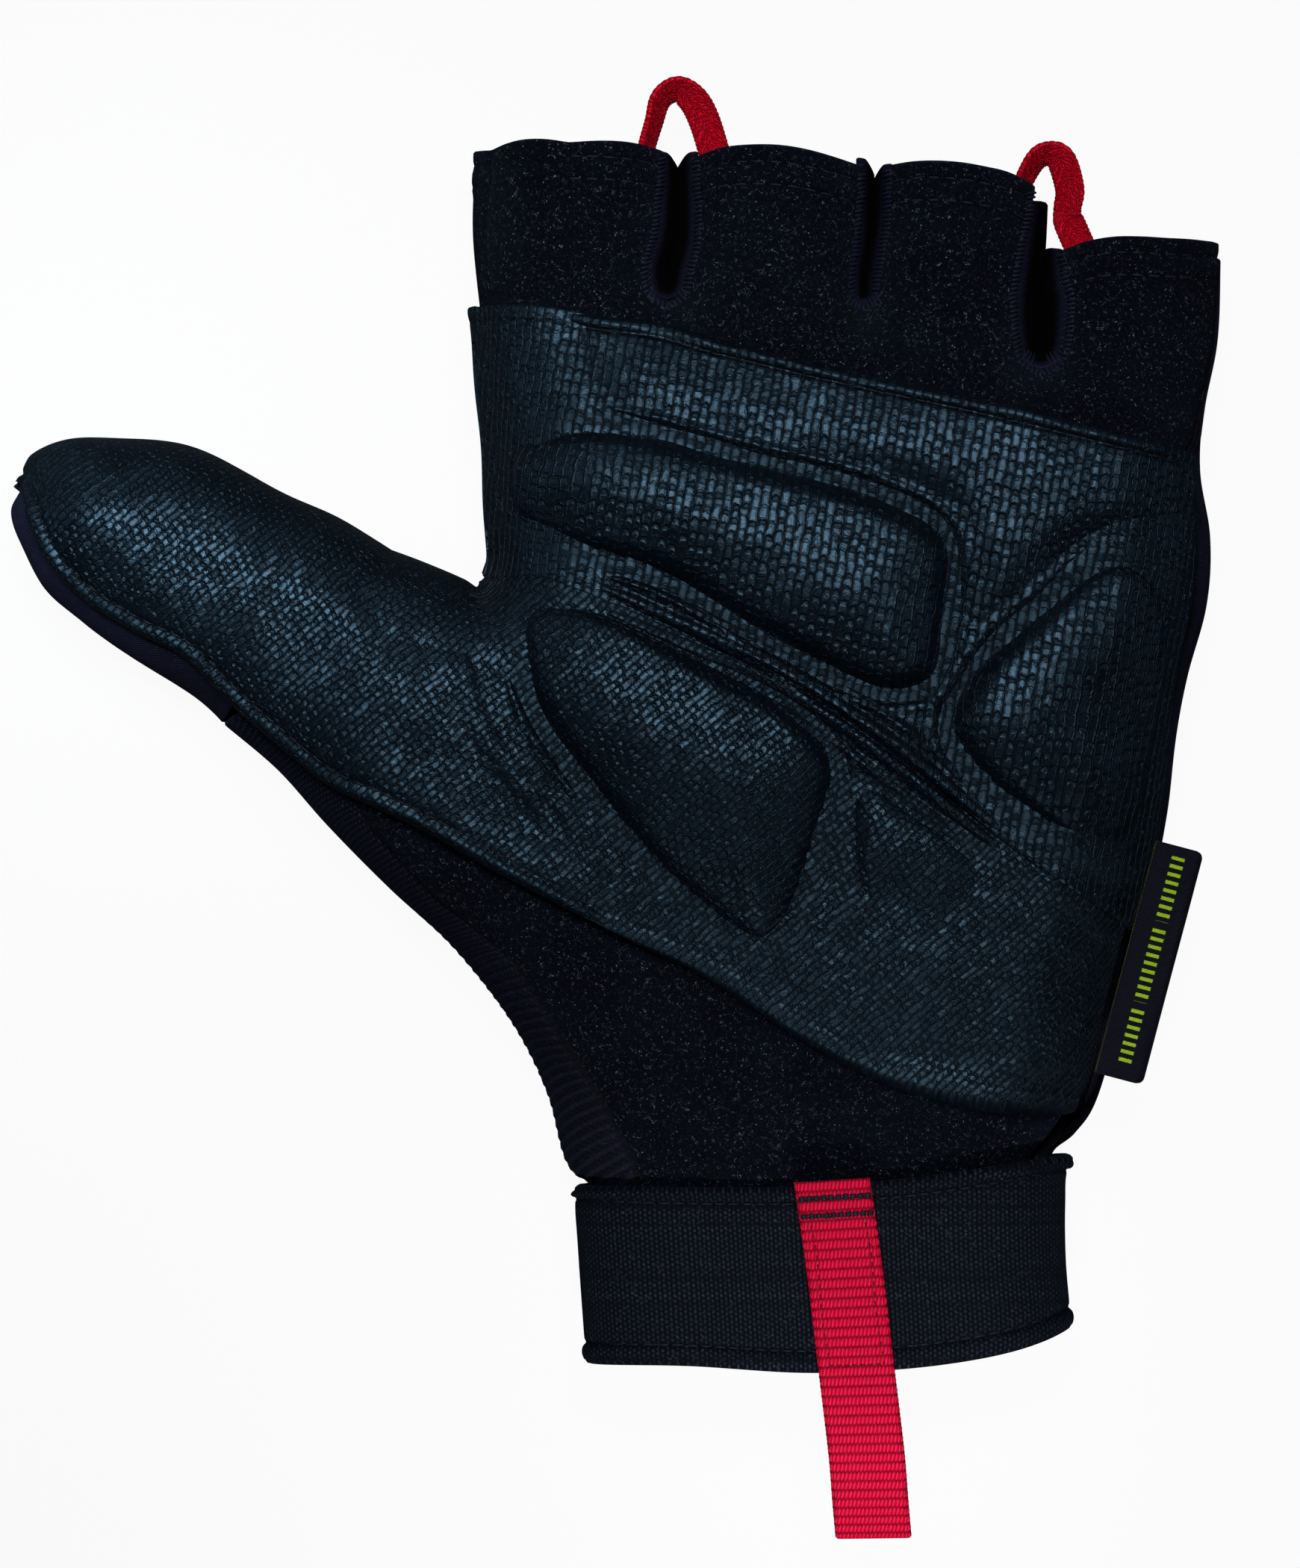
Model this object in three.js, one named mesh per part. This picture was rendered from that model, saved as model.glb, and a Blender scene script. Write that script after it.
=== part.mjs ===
import * as THREE from 'three';

// A wheelchair glove for the left hand, lying palm up on its back.
// Millimetres, +Z up, fingers towards +Y, thumb towards -X.

// Driving sizes
const CLOTH = 1.4;
const PATCH = 1.5;
const KNIT = 1.5;
const FORK_CLOTH = 1.2;
const TAPE = 1.0;
const GAP = 0.3;
const LAYER = GAP + PATCH;
const PIPING = 0.4;
const PAD_HEIGHT = 2.2;
const RIDGE_HEIGHT = 0.9;
const TAB_WIDTH = 10.4;
const LOOP_WIDTH = 4.4;
const SIDE_ANGLE = 28;
const PATCH_SIDE_ANGLE = 25;
const SEAM_ANGLE = 3.4;
const ON_LINE = 0.05;
const UNDERLAP = 0.9;
const WRIST_END = -57;
const RIB_PITCH = 2.8;
const RIB_HEIGHT = 0.45;

// The middle of the whole glove, which is the origin of the part
const CENTRE = { x: 0.046, y: -0.179 };

// How thick the stuffed glove is: its middle height, its rise above that, and where its back lies
const BODY = {
  palm: { middle: 12.5, rise: 14, floor: 0 },
  fingers: { middle: 11, rise: 10, floor: 0 },
  thumb: { middle: 11.5, rise: 10.5, floor: 0 },
  wrist: { middle: 12, rise: 10, floor: GAP + KNIT + PIPING },
};

// Each table names its columns once and has a row for each section or point
function table(columns, rows) {
  const keys = columns.split(' ');
  return rows.map((row) => Object.fromEntries(keys.map((key, i) => [key, row[i]])));
}

// Where the palm's shape passes into each other part's: a start, a direction and a length
const BLENDS = table('part x y alongX alongY length', [
  ['fingers', 0, 46, 0, 1, 28],
  ['wrist', 0, -33, 0, -1, 13],
  ['thumb', -20, 22, -0.87, 0.49, 28],
]);

const TIP = { x: -82.3, y: 44.9 };

// Sections across the thumb: its seam on the palm side, its lower edge and its upper edge
const THUMB = table('seamX seamY lowX lowY highX highY', [
  [-80.4, 43.9, -84.1, 41.6, -80.4, 47.7],
  [-79.1, 40.3, -82.6, 36, -76, 49.9],
  [-76.6, 35.6, -79.8, 30.4, -68.5, 49.9],
  [-71.8, 30.7, -74.6, 26.2, -60.8, 48.9],
  [-65.9, 27.1, -67.8, 21.5, -53.0, 45.4],
  [-60.6, 24.4, -62.0, 17.5, -44.5, 41.3],
  [-57.0, 21.6, -58.6, 15.1, -35.5, 36.9],
  [-54.6, 19.2, -56.6, 13.5, -26.8, 32.6],
  [-52.0, 16.6, -55.0, 12.1, -20.3, 29.6],
]);

// Sections across the ribbed gusset: its seam on the palm, the glove's edge, its seam on the back
const GUSSET = table('palmX palmY edgeX edgeY backX backY', [
  [-48.5, 14.2, -54.5, 11.6, -43.5, 16.6],
  [-37.6, 4.2, -47.2, 5.4, -36.5, 9],
  [-34.3, -2.5, -40.3, -2.3, -28, 0],
  [-25.1, -12.5, -31.3, -11.4, -19, -10],
  [-14, -21.2, -22.3, -19.6, -10, -20],
  [-7.2, -32.3, -14.3, -29.6, -2, -30],
  [-2, -40.4, -9.3, -39.6, 4, -40],
  [2.6, -48.8, -6.8, -48.8, 6.6, -48.8],
  [3.2, -53, -4.3, -52.8, 7.4, -53],
  [3.9, WRIST_END, -3.8, WRIST_END, 8.5, WRIST_END],
]);

// The glove's edges where no section gives them
const INDEX_SIDE = table('x y', [
  [-18.2, 28.9], [-16.7, 30.8], [-16.4, 38], [-17.1, 50], [-18.5, 65], [-20, 79], [-19.6, 90], [-19.4, 104],
]);
const WRIST_SIDE = table('x y', [[-3.3, -63], [-2.5, -77], [-2.3, -92]]);
const LITTLE_SIDE = table('x y', [
  [84.7, 104], [84.6, 87], [84.2, 76], [83.6, 64.8], [82, 55.4], [81.5, 47], [82.5, 38], [82, 28],
  [79.8, 18.5], [77.8, 8.6], [76.4, -1], [74.4, -12], [71.2, -22], [68.8, -32], [67.6, -37.8],
  [65.9, -42.6], [63, -46.6], [61.1, -50], [60.8, -55], [60.9, -63], [61.6, -73], [61.8, -92],
]);

// Gaps between the fingers: two sides and a round bottom
const SLOTS = [
  {
    turn: 35,
    bottom: { x: 7.1, y: 72.6 },
    sides: table('y left right', [[75, 6.8, 7.6], [79, 7.9, 8.6], [84, 8.2, 8.8], [104, 8.2, 8.8]]),
  },
  {
    turn: 34,
    bottom: { x: 34.4, y: 71.4 },
    sides: table('y left right', [[74, 34.2, 34.8], [79, 35, 35.6], [84, 35.5, 36], [104, 35.6, 36.2]]),
  },
  {
    turn: 44,
    bottom: { x: 58.9, y: 63.6 },
    sides: table('y left right', [[66, 58.5, 59.4], [71, 58.5, 59.5], [78, 59.3, 60.2], [104, 60.1, 61]]),
  },
];

// Open ends of the fingers: height at the left and right corners, and how far the middle rises
const HEMS = table('left right arch', [
  [90.9, 91.2, 2.4],
  [90.6, 89.7, 2.3],
  [89.9, 86, 2.2],
  [77.9, 78, 2],
]);

// The upper grip patch: its free upper edge and the seam ridge under it
const PATCH_TOP = table('x y', [
  [-19.2, 69.8], [-9, 69.2], [6.8, 66.4], [29.5, 61], [52.3, 56], [73.5, 50.8], [80.8, 49],
]);
const RIDGE = table('x y', [
  [-16.6, 31.4], [-11.4, 33.1], [-4.5, 31.3], [10.6, 24.8], [25.7, 17.7], [40.9, 7.1], [56, -5], [70.9, -15.4],
]);

// Sections of the lower grip patch from the tip of the thumb to the heel of the hand
const THUMB_PATCH = table('lowX lowY highX highY', [
  [-82.0, 44.4, -80.4, 47.7],
  [-80.9, 40.6, -76, 49.9],
  [-78, 34.6, -68.5, 49.9],
  [-72.8, 29.2, -60.8, 48.9],
  [-66.5, 25.4, -53, 45.4],
  [-60, 22.2, -44.5, 41.3],
  [-53.6, 16, -35.5, 36.9],
  [-46.5, 10, -26.8, 32.6],
  [-39.5, 4.2, -20.3, 29.6],
]);
const HEEL_PATCH = table('lowX lowY ridge', [
  [-33, 1, 0],
  [-26.2, -2.6, 0.12],
  [-15, -9.2, 0.24],
  [-2.2, -16, 0.37],
  [12, -22.2, 0.5],
  [25, -30.4, 0.62],
  [38, -37, 0.74],
  [51, -40.1, 0.88],
  [63.6, -41.5, 1],
]);

// Foam pads sewn in under the patches
const PADS = {
  knuckle: table('x y', [
    [-14.8, 49.2], [-4.5, 52], [18.1, 46.9], [37.1, 41.6], [44.2, 37], [44.4, 27], [42.6, 18.6],
    [37.1, 17.4], [22, 24.4], [6.8, 33.2], [-8.3, 37.7], [-15, 42],
  ]),
  side: table('x y', [
    [69, 33.6], [74.5, 31], [76.4, 23], [74.4, 8], [72, -6.4], [68, -7.4],
    [58, -0.8], [49.4, 7], [47.2, 11.6], [50.7, 18.7], [59, 26.5],
  ]),
  thumb: table('x y', [
    [-11.8, 27.2], [-3.5, 27.2], [10.6, 20.4], [24, 12.6], [29, 6], [27.3, -3], [23, -16],
    [19.8, -18.6], [9.6, -11], [-3, 4], [-10.4, 15.5],
  ]),
  heel: table('x y', [
    [33.4, 2.6], [41.5, -1.8], [54, -10.6], [66.5, -19.6], [67, -26], [63, -33.6], [53, -34],
    [41.5, -29], [35.2, -20], [33, -8],
  ]),
};

// Broad mounds that the stuffed palm has
const MOUNDS = table('x y reach height', [
  [4, 4, 30, 1.6],
  [50, -20, 28, 1.2],
  [32, 44, 30, 0.8],
]);

const lerp = THREE.MathUtils.lerp;
const radians = THREE.MathUtils.degToRad;

function smooth(share) {
  const t = THREE.MathUtils.clamp(share, 0, 1);
  return t * t * (3 - 2 * t);
}

function plan(points) {
  return points.map((p) => new THREE.Vector3(p.x, p.y, 0));
}

function pick(rows, side) {
  return rows.map((row) => ({ x: row[`${side}X`], y: row[`${side}Y`] }));
}

// Seam lines in plan. A side line knows which side of it the glove is on and how round it is.
const LINE_STEPS = 12;

function sideLine(points, inward, reach, backReach) {
  const curve = new THREE.CatmullRomCurve3(plan(points));
  const count = points.length - 1;
  return { curve, count, dense: curve.getPoints(count * LINE_STEPS), inward, reach, backReach };
}

function slotLine(slot) {
  const left = slot.sides.map((row) => ({ x: row.left, y: row.y })).reverse();
  const right = slot.sides.map((row) => ({ x: row.right, y: row.y }));
  return [...left, slot.bottom, ...right];
}

const thumbLow = [TIP, ...pick(THUMB, 'low'), ...pick(GUSSET, 'edge'), ...WRIST_SIDE];
const thumbHigh = [TIP, ...pick(THUMB, 'high'), ...INDEX_SIDE];
const lowLine = sideLine(thumbLow, 1, 14, 11);
const highLine = sideLine(thumbHigh, -1, 12, 9);
const littleLine = sideLine(LITTLE_SIDE, -1, 15, 12);
const slotLines = SLOTS.map((slot) => sideLine(slotLine(slot), -1, 11, 9));
const allLines = [lowLine, highLine, littleLine, ...slotLines];

// Distance from a plan point to a side line, and the direction from the line into the glove
function nearest(line, x, y) {
  let best = { distance: Infinity };
  for (let i = 0; i + 1 < line.dense.length; i++) {
    const a = line.dense[i];
    const b = line.dense[i + 1];
    const dx = b.x - a.x;
    const dy = b.y - a.y;
    const t = THREE.MathUtils.clamp(((x - a.x) * dx + (y - a.y) * dy) / (dx * dx + dy * dy), 0, 1);
    const ox = x - a.x - t * dx;
    const oy = y - a.y - t * dy;
    const distance = Math.hypot(ox, oy);
    if (distance < best.distance) {
      const length = Math.hypot(dx, dy);
      const across = { x: (-dy / length) * line.inward, y: (dx / length) * line.inward };
      const direction = distance > ON_LINE ? { x: ox / distance, y: oy / distance } : across;
      best = { distance, direction };
    }
  }
  return best;
}

function mixBody(from, to, share) {
  return {
    middle: lerp(from.middle, to.middle, share),
    rise: lerp(from.rise, to.rise, share),
    floor: lerp(from.floor, to.floor, share),
  };
}

function bodyAt(x, y) {
  let body = BODY.palm;
  for (const blend of BLENDS) {
    const along = (x - blend.x) * blend.alongX + (y - blend.y) * blend.alongY;
    body = mixBody(body, BODY[blend.part], smooth(along / blend.length));
  }
  return body;
}

function moundAt(x, y) {
  let height = 0;
  for (const mound of MOUNDS) {
    const away = Math.hypot(x - mound.x, y - mound.y) / mound.reach;
    height += mound.height * Math.exp(-away * away);
  }
  return height;
}

// The stuffed glove's skin over a plan point: sheet 1 is the palm side, -1 the back, 0 the very edge
function skin(x, y, sheet) {
  const body = bodyAt(x, y);
  const back = sheet < 0;
  const height = back ? body.middle - body.floor : body.rise + moundAt(x, y);
  const sides = allLines.map((line) => {
    const { distance, direction } = nearest(line, x, y);
    const reach = back ? line.backReach : line.reach;
    const share = Math.min(1, distance / reach);
    const rise = distance < ON_LINE ? 0 : Math.sqrt(1 - (1 - share) ** 2);
    return { direction, reach, share, rise };
  });
  const full = sides.reduce((product, side) => product * side.rise, 1);
  const normal = new THREE.Vector3(0, 0, sheet * full);
  for (const side of sides) {
    const others = sides.reduce((product, other) => (other === side ? product : product * other.rise), 1);
    const slope = (height * others * others * (1 - side.share)) / side.reach;
    normal.x -= slope * side.direction.x;
    normal.y -= slope * side.direction.y;
  }
  const edge = full === 0 ? (sheet * GAP) / 2 : 0;
  const point = new THREE.Vector3(x, y, body.middle + sheet * height * full + edge);
  return { point, normal: normal.normalize() };
}

// A point on the rounded side of a line: turn 0 is the very edge, 90 the flat of the palm
function roundSide(line, share, turn) {
  const at = line.curve.getPoint(share);
  const ahead = line.curve.getTangent(share);
  const inX = -ahead.y * line.inward;
  const inY = ahead.x * line.inward;
  const angle = radians(turn);
  const reach = turn < 0 ? line.backReach : line.reach;
  const inset = reach * (1 - Math.cos(angle));
  const x = at.x + inX * inset;
  const y = at.y + inY * inset;
  const body = bodyAt(x, y);
  const height = turn < 0 ? body.middle - body.floor : body.rise + moundAt(x, y);
  const point = new THREE.Vector3(x, y, body.middle + height * Math.sin(angle));
  const out = Math.cos(angle) / reach;
  const normal = new THREE.Vector3(-inX * out, -inY * out, Math.sin(angle) / height);
  return { point, normal: normal.normalize() };
}

// A sheet of quads from a function of two counters
function gridSheet(countU, countV, at) {
  const points = [];
  const quads = [];
  const step = countV + 1;
  for (let i = 0; i <= countU; i++) {
    for (let j = 0; j <= countV; j++) points.push(at(i, j));
  }
  for (let i = 0; i < countU; i++) {
    for (let j = 0; j < countV; j++) {
      const a = i * step + j;
      quads.push([a, a + step, a + step + 1, a + 1]);
    }
  }
  return { points, quads };
}

// A closed ring of sections, such as the cuff
function ringSheet(countU, countV, at) {
  const sheet = gridSheet(countU, countV, at);
  const step = countV + 1;
  const kept = countU * step;
  sheet.points.length = kept;
  sheet.quads = sheet.quads.map((quad) => quad.map((index) => index % kept));
  return sheet;
}

// Gives a sheet its thickness along its own normals and closes its rim
function wall(sheet, inner, outer) {
  const { points, quads } = sheet;
  const total = points.length;
  const positions = [];
  for (const { point, normal, lift = 0 } of points) {
    positions.push(...point.clone().addScaledVector(normal, outer + lift).toArray());
  }
  for (const { point, normal } of points) {
    positions.push(...point.clone().addScaledVector(normal, inner).toArray());
  }
  const triangles = quads.flatMap(([a, b, c, d]) => [[a, b, c], [a, c, d]]);
  let facing = 0;
  const cross = new THREE.Vector3();
  const side = new THREE.Vector3();
  for (const [a, b, c] of triangles) {
    cross.subVectors(points[b].point, points[a].point);
    side.subVectors(points[c].point, points[a].point);
    facing += cross.cross(side).dot(points[a].normal);
  }
  const outside = facing > 0 ? triangles : triangles.map(([a, b, c]) => [a, c, b]);
  const edges = new Set(outside.flatMap(([a, b, c]) => [`${a} ${b}`, `${b} ${c}`, `${c} ${a}`]));
  const index = [];
  for (const [a, b, c] of outside) index.push(a, b, c, total + a, total + c, total + b);
  for (const edge of edges) {
    const [a, b] = edge.split(' ').map(Number);
    if (!edges.has(`${b} ${a}`)) index.push(b, a, total + a, b, total + a, total + b);
  }
  const geometry = new THREE.BufferGeometry();
  geometry.setAttribute('position', new THREE.Float32BufferAttribute(positions, 3));
  geometry.setIndex(index);
  return geometry;
}

const glove = new THREE.Group();
glove.position.set(-CENTRE.x, -CENTRE.y, 0);

const FINISHES = {
  suede: new THREE.MeshStandardMaterial({ color: 0x0a0c14, roughness: 0.95, metalness: 0 }),
  grip: new THREE.MeshStandardMaterial({ color: 0x1b2a36, roughness: 0.45, metalness: 0 }),
  twill: new THREE.MeshStandardMaterial({ color: 0x14162a, roughness: 0.8, metalness: 0 }),
  rib: new THREE.MeshStandardMaterial({ color: 0x0d0f1c, roughness: 0.85, metalness: 0 }),
  knit: new THREE.MeshStandardMaterial({ color: 0x121822, roughness: 0.9, metalness: 0 }),
  red: new THREE.MeshStandardMaterial({ color: 0xd8183c, roughness: 0.6, metalness: 0 }),
  label: new THREE.MeshStandardMaterial({ color: 0x0c1026, roughness: 0.7, metalness: 0 }),
};

function addPiece(name, geometry, finish) {
  const mesh = new THREE.Mesh(geometry, FINISHES[finish]);
  mesh.name = name;
  glove.add(mesh);
}

// The width at which a polyline crosses a given height
function widthAt(points, y) {
  for (let i = 0; i + 1 < points.length; i++) {
    const a = points[i];
    const b = points[i + 1];
    if ((a.y <= y && y <= b.y) || (b.y <= y && y <= a.y)) return lerp(a.x, b.x, (y - a.y) / (b.y - a.y || 1));
  }
  return points[points.length - 1].x;
}

function polylineAt(points, share) {
  const whole = Math.min(points.length - 2, Math.floor(share));
  const rest = share - whole;
  const a = points[whole];
  const b = points[whole + 1];
  return { x: lerp(a.x, b.x, rest), y: lerp(a.y, b.y, rest) };
}

// Distance inside a closed outline, negative outside
function outline(points) {
  return new THREE.CatmullRomCurve3(plan(points), true).getPoints(points.length * 6);
}

function depthInside(ring, x, y) {
  let inside = false;
  let distance = Infinity;
  for (let i = 0; i + 1 < ring.length; i++) {
    const a = ring[i];
    const b = ring[i + 1];
    if (a.y > y !== b.y > y && x < a.x + ((b.x - a.x) * (y - a.y)) / (b.y - a.y)) inside = !inside;
    const dx = b.x - a.x;
    const dy = b.y - a.y;
    const t = THREE.MathUtils.clamp(((x - a.x) * dx + (y - a.y) * dy) / (dx * dx + dy * dy), 0, 1);
    distance = Math.min(distance, Math.hypot(x - a.x - t * dx, y - a.y - t * dy));
  }
  return inside ? distance : -distance;
}

// Panels lie a little deeper where a patch or the cuff is sewn on over them
const CUFF_TOP = table('x y', [[-6, -52.3], [12, -52.8], [28, -52.6], [45, -51], [64, -47.4]]);
const patchRing = [
  ...pick(THUMB_PATCH, 'low'),
  ...pick(HEEL_PATCH, 'low'),
  ...[...PATCH_TOP].reverse(),
  ...pick(THUMB_PATCH, 'high').reverse(),
  { x: THUMB_PATCH[0].lowX, y: THUMB_PATCH[0].lowY },
];

function heightOver(rows, x) {
  const within = THREE.MathUtils.clamp(x, rows[0].x, rows[rows.length - 1].x);
  return widthAt(rows.map((p) => ({ x: p.y, y: p.x })), within);
}

function tucked(at) {
  const { point, normal } = at;
  const underPatch = normal.z > 0 ? smooth((depthInside(patchRing, point.x, point.y) + 3) / 3) : 0;
  const underCuff = smooth((heightOver(CUFF_TOP, point.x) + 2 - point.y) / 2.5);
  point.addScaledVector(normal, -UNDERLAP * Math.max(underPatch, underCuff));
  return at;
}

// The front or back of the hand: one sheet with four finger stubs, like a comb.
// The left edge is a list of points; the right edge and the slots are set in by a seam angle.
const INDEX_SHARES = [0, 0.03, 0.13, 0.4, 0.75, 1];
const FINGER_SHARES = [0, 0.2, 0.5, 0.8, 1];
const FINGER_ROWS = 3;
const ROUND_STEPS = 4;
const INDEX_START = 70;
const LITTLE_START = 62;
const SLOT_HALF = 0.65;

// A side line moved into the glove, to where its rounded side has turned by an angle
function insetLine(line, sheet, angle) {
  const reach = sheet < 0 ? line.backReach : line.reach;
  const inset = reach * (1 - Math.cos(radians(angle)));
  const last = line.dense.length - 1;
  return line.dense.map((p, i) => {
    const ahead = line.curve.getTangent(i / last);
    return { x: p.x - ahead.y * line.inward * inset, y: p.y + ahead.x * line.inward * inset };
  });
}

const CLIMB_START = 32.4;
const indexEdge = highLine.dense.slice((THUMB.length + 1) * LINE_STEPS);

function handSheet(sheet, leftEdge) {
  const points = [];
  const quads = [];
  const slotEdges = slotLines.map((line, i) => insetLine(line, sheet, SLOTS[i].turn + SEAM_ANGLE));
  const rightEdge = insetLine(littleLine, sheet, SIDE_ANGLE + SEAM_ANGLE);
  const slotSide = (i, side, y) => {
    const half = (slotEdges[i].length - 1) / 2;
    return widthAt(side === 'left' ? slotEdges[i].slice(0, half + 1) : slotEdges[i].slice(half), y);
  };
  const leftSide = (y) => widthAt(y > CLIMB_START ? indexEdge : leftEdge, y);
  const rightSide = (y) => widthAt(rightEdge, y);
  const startOf = (i) => (i < 0 ? INDEX_START : i > 2 ? LITTLE_START : SLOTS[i].bottom.y + SLOT_HALF);
  const shares = [INDEX_SHARES, FINGER_SHARES, FINGER_SHARES, FINGER_SHARES];

  // Column positions along the row at the bottoms of the slots
  const row = [];
  const columnsOf = [];
  for (let f = 0; f < 4; f++) {
    const leftY = startOf(f - 1);
    const rightY = startOf(f);
    const left = { x: f ? slotSide(f - 1, 'right', leftY) : leftSide(leftY), y: leftY };
    const right = { x: f < 3 ? slotSide(f, 'left', rightY) : rightSide(rightY), y: rightY };
    columnsOf.push(shares[f].map((share, k) => row.length + k));
    for (const share of shares[f]) row.push({ x: lerp(left.x, right.x, share), y: lerp(left.y, right.y, share) });
    if (f === 3) continue;
    const next = slotSide(f, 'right', rightY);
    const centre = { x: (right.x + next) / 2, y: rightY };
    const radius = (next - right.x) / 2 / Math.cos(Math.PI / ROUND_STEPS / 2);
    for (let k = 1; k < ROUND_STEPS; k++) {
      const angle = Math.PI + (Math.PI * k) / ROUND_STEPS;
      row.push({ x: centre.x + radius * Math.cos(angle), y: centre.y + radius * Math.sin(angle) });
    }
  }

  // Rows from the wrist up to the slots
  const last = row.length - 1;
  const bottomLeft = leftEdge[0];
  const bottomRight = { x: rightSide(WRIST_END), y: WRIST_END };
  const topLeft = row[0];
  const topRight = row[last];
  const rowCount = leftEdge.length;
  for (let j = 0; j < rowCount; j++) {
    const v = (leftEdge[j].y - bottomLeft.y) / (topLeft.y - bottomLeft.y);
    const left = leftEdge[j];
    const rightY = lerp(bottomRight.y, topRight.y, v);
    const right = { x: rightSide(rightY), y: rightY };
    for (let k = 0; k <= last; k++) {
      const u = (row[k].x - topLeft.x) / (topRight.x - topLeft.x);
      const coons = ['x', 'y'].map((axis) => {
        const across = lerp(left[axis], right[axis], u);
        const along = lerp(lerp(bottomLeft[axis], bottomRight[axis], u), row[k][axis], v);
        const corners = lerp(
          lerp(bottomLeft[axis], bottomRight[axis], u),
          lerp(topLeft[axis], topRight[axis], u),
          v,
        );
        return across + along - corners;
      });
      points.push(tucked(skin(coons[0], coons[1], sheet)));
    }
  }
  const slotRow = points.length;
  for (const p of row) points.push(tucked(skin(p.x, p.y, sheet)));
  for (let j = 0; j < rowCount; j++) {
    for (let k = 0; k < last; k++) {
      const a = j * (last + 1) + k;
      quads.push([a, a + 1, a + last + 2, a + last + 1]);
    }
  }

  // The finger stubs above the slots
  for (let f = 0; f < 4; f++) {
    const hem = HEMS[f];
    let previous = columnsOf[f].map((column) => slotRow + column);
    for (let j = 1; j <= FINGER_ROWS; j++) {
      const v = j / FINGER_ROWS;
      const leftY = lerp(startOf(f - 1), hem.left, v);
      const rightY = lerp(startOf(f), hem.right, v);
      const left = f ? slotSide(f - 1, 'right', leftY) : leftSide(leftY);
      const right = f < 3 ? slotSide(f, 'left', rightY) : rightSide(rightY);
      const current = shares[f].map((share) => {
        const x = lerp(left, right, share);
        const y = lerp(leftY, rightY, share) + hem.arch * v * v * 4 * share * (1 - share);
        points.push(skin(x, y, sheet));
        return points.length - 1;
      });
      for (let k = 0; k + 1 < current.length; k++) {
        quads.push([previous[k], previous[k + 1], current[k + 1], current[k]]);
      }
      previous = current;
    }
  }
  return { points, quads };
}

// The palm's left edge follows the gusset seam, crosses under the thumb patch and climbs the index side
const SEAM_STEP = 0.45;
const ABOVE_WEB = [CLIMB_START, 44, 57];
const palmUnderThumb = table('x y', [[-31, 13.5], [-25, 20], [-20.2, 25], [-16.6, 28.8]]);
const palmLeft = pick(GUSSET, 'palm').slice(1).reverse();
const climb = ABOVE_WEB.map((y) => ({ x: widthAt(indexEdge, y), y }));
const palmEdge = [...palmLeft.map((p) => ({ x: p.x + SEAM_STEP, y: p.y })), ...palmUnderThumb, ...climb];
addPiece('palm_panel', wall(handSheet(1, palmEdge), -CLOTH, 0), 'suede');

// The back's left edge follows the gusset's back seam, then the thumb's root seam to the web
const backLeft = pick(GUSSET, 'back').reverse();
const backAtThumb = table('x y', [[-35.5, 21.0], [-27, 24.9], [-19.2, 28.0]]);
const backEdge = [...backLeft.map((p) => ({ x: p.x + SEAM_STEP, y: p.y - 0.1 })), ...backAtThumb, ...climb];
addPiece('back_panel', wall(handSheet(-1, backEdge), -CLOTH, 0), 'twill');

// The back of the thumb: from its seam on the palm side, round the lower edge, to the upper edge
const THUMB_ROWS = 17;
const SEAM_TURN = 3;
const UNDER_TURN = 6;
const TIP_START = 0.3;

function thumbBackSheet() {
  const rows = THUMB.length;
  const seam = [TIP, ...pick(THUMB, 'seam')];
  return gridSheet(THUMB_ROWS, SEAM_TURN + UNDER_TURN, (i, j) => {
    const t = lerp(TIP_START, rows, i / THUMB_ROWS);
    const low = lowLine.curve.getPoint(t / lowLine.count);
    const high = highLine.curve.getPoint(t / highLine.count);
    const start = polylineAt(seam, t);
    if (j < SEAM_TURN) {
      const share = Math.sin((Math.PI / 2) * (j / SEAM_TURN));
      return skin(lerp(start.x, low.x, share), lerp(start.y, low.y, share), 1);
    }
    if (j === SEAM_TURN) return skin(low.x, low.y, 0);
    const share = (1 - Math.cos((Math.PI * (j - SEAM_TURN)) / UNDER_TURN)) / 2;
    return skin(lerp(low.x, high.x, share), lerp(low.y, high.y, share), -1);
  });
}
addPiece('thumb_back', wall(thumbBackSheet(), -CLOTH, 0), 'twill');

// The ribbed gusset round the glove's thumb-side edge, from the thumb's root to the wrist
const GUSSET_TURN = 3;
const PLAIN_ROWS = 9;
const RIBS_FROM = 3;
const RIB_ROWS = 2 * Math.round(48 / RIB_PITCH);

function gussetSheet() {
  const first = THUMB.length + 1;
  const palm = pick(GUSSET, 'palm');
  const back = pick(GUSSET, 'back');
  const last = GUSSET.length - 1;
  return gridSheet(PLAIN_ROWS + RIB_ROWS, 2 * GUSSET_TURN, (i, j) => {
    const ribbed = i - PLAIN_ROWS;
    const t = ribbed < 0 ? (RIBS_FROM * i) / PLAIN_ROWS : lerp(RIBS_FROM, last, ribbed / RIB_ROWS);
    const edge = lowLine.curve.getPoint((first + t) / lowLine.count);
    const turn = j - GUSSET_TURN;
    const seam = turn < 0 ? polylineAt(palm, t) : polylineAt(back, t);
    const share = 1 - Math.cos((Math.PI / 2) * (Math.abs(turn) / GUSSET_TURN));
    const at = skin(lerp(edge.x, seam.x, share), lerp(edge.y, seam.y, share), -Math.sign(turn));
    const raised = ribbed > 0 && ribbed % 2 && edge.y > WRIST_END + 6;
    const rib = raised ? RIB_HEIGHT * (1 - smooth(Math.abs(turn) / GUSSET_TURN)) : 0;
    return { ...tucked(at), lift: rib };
  });
}
addPiece('rib_gusset', wall(gussetSheet(), -CLOTH, 0), 'rib');

// The wall along the little-finger side
const SIDE_ROWS = 18;
const SIDE_START = 0.094;
const SIDE_END = 0.87;

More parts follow.
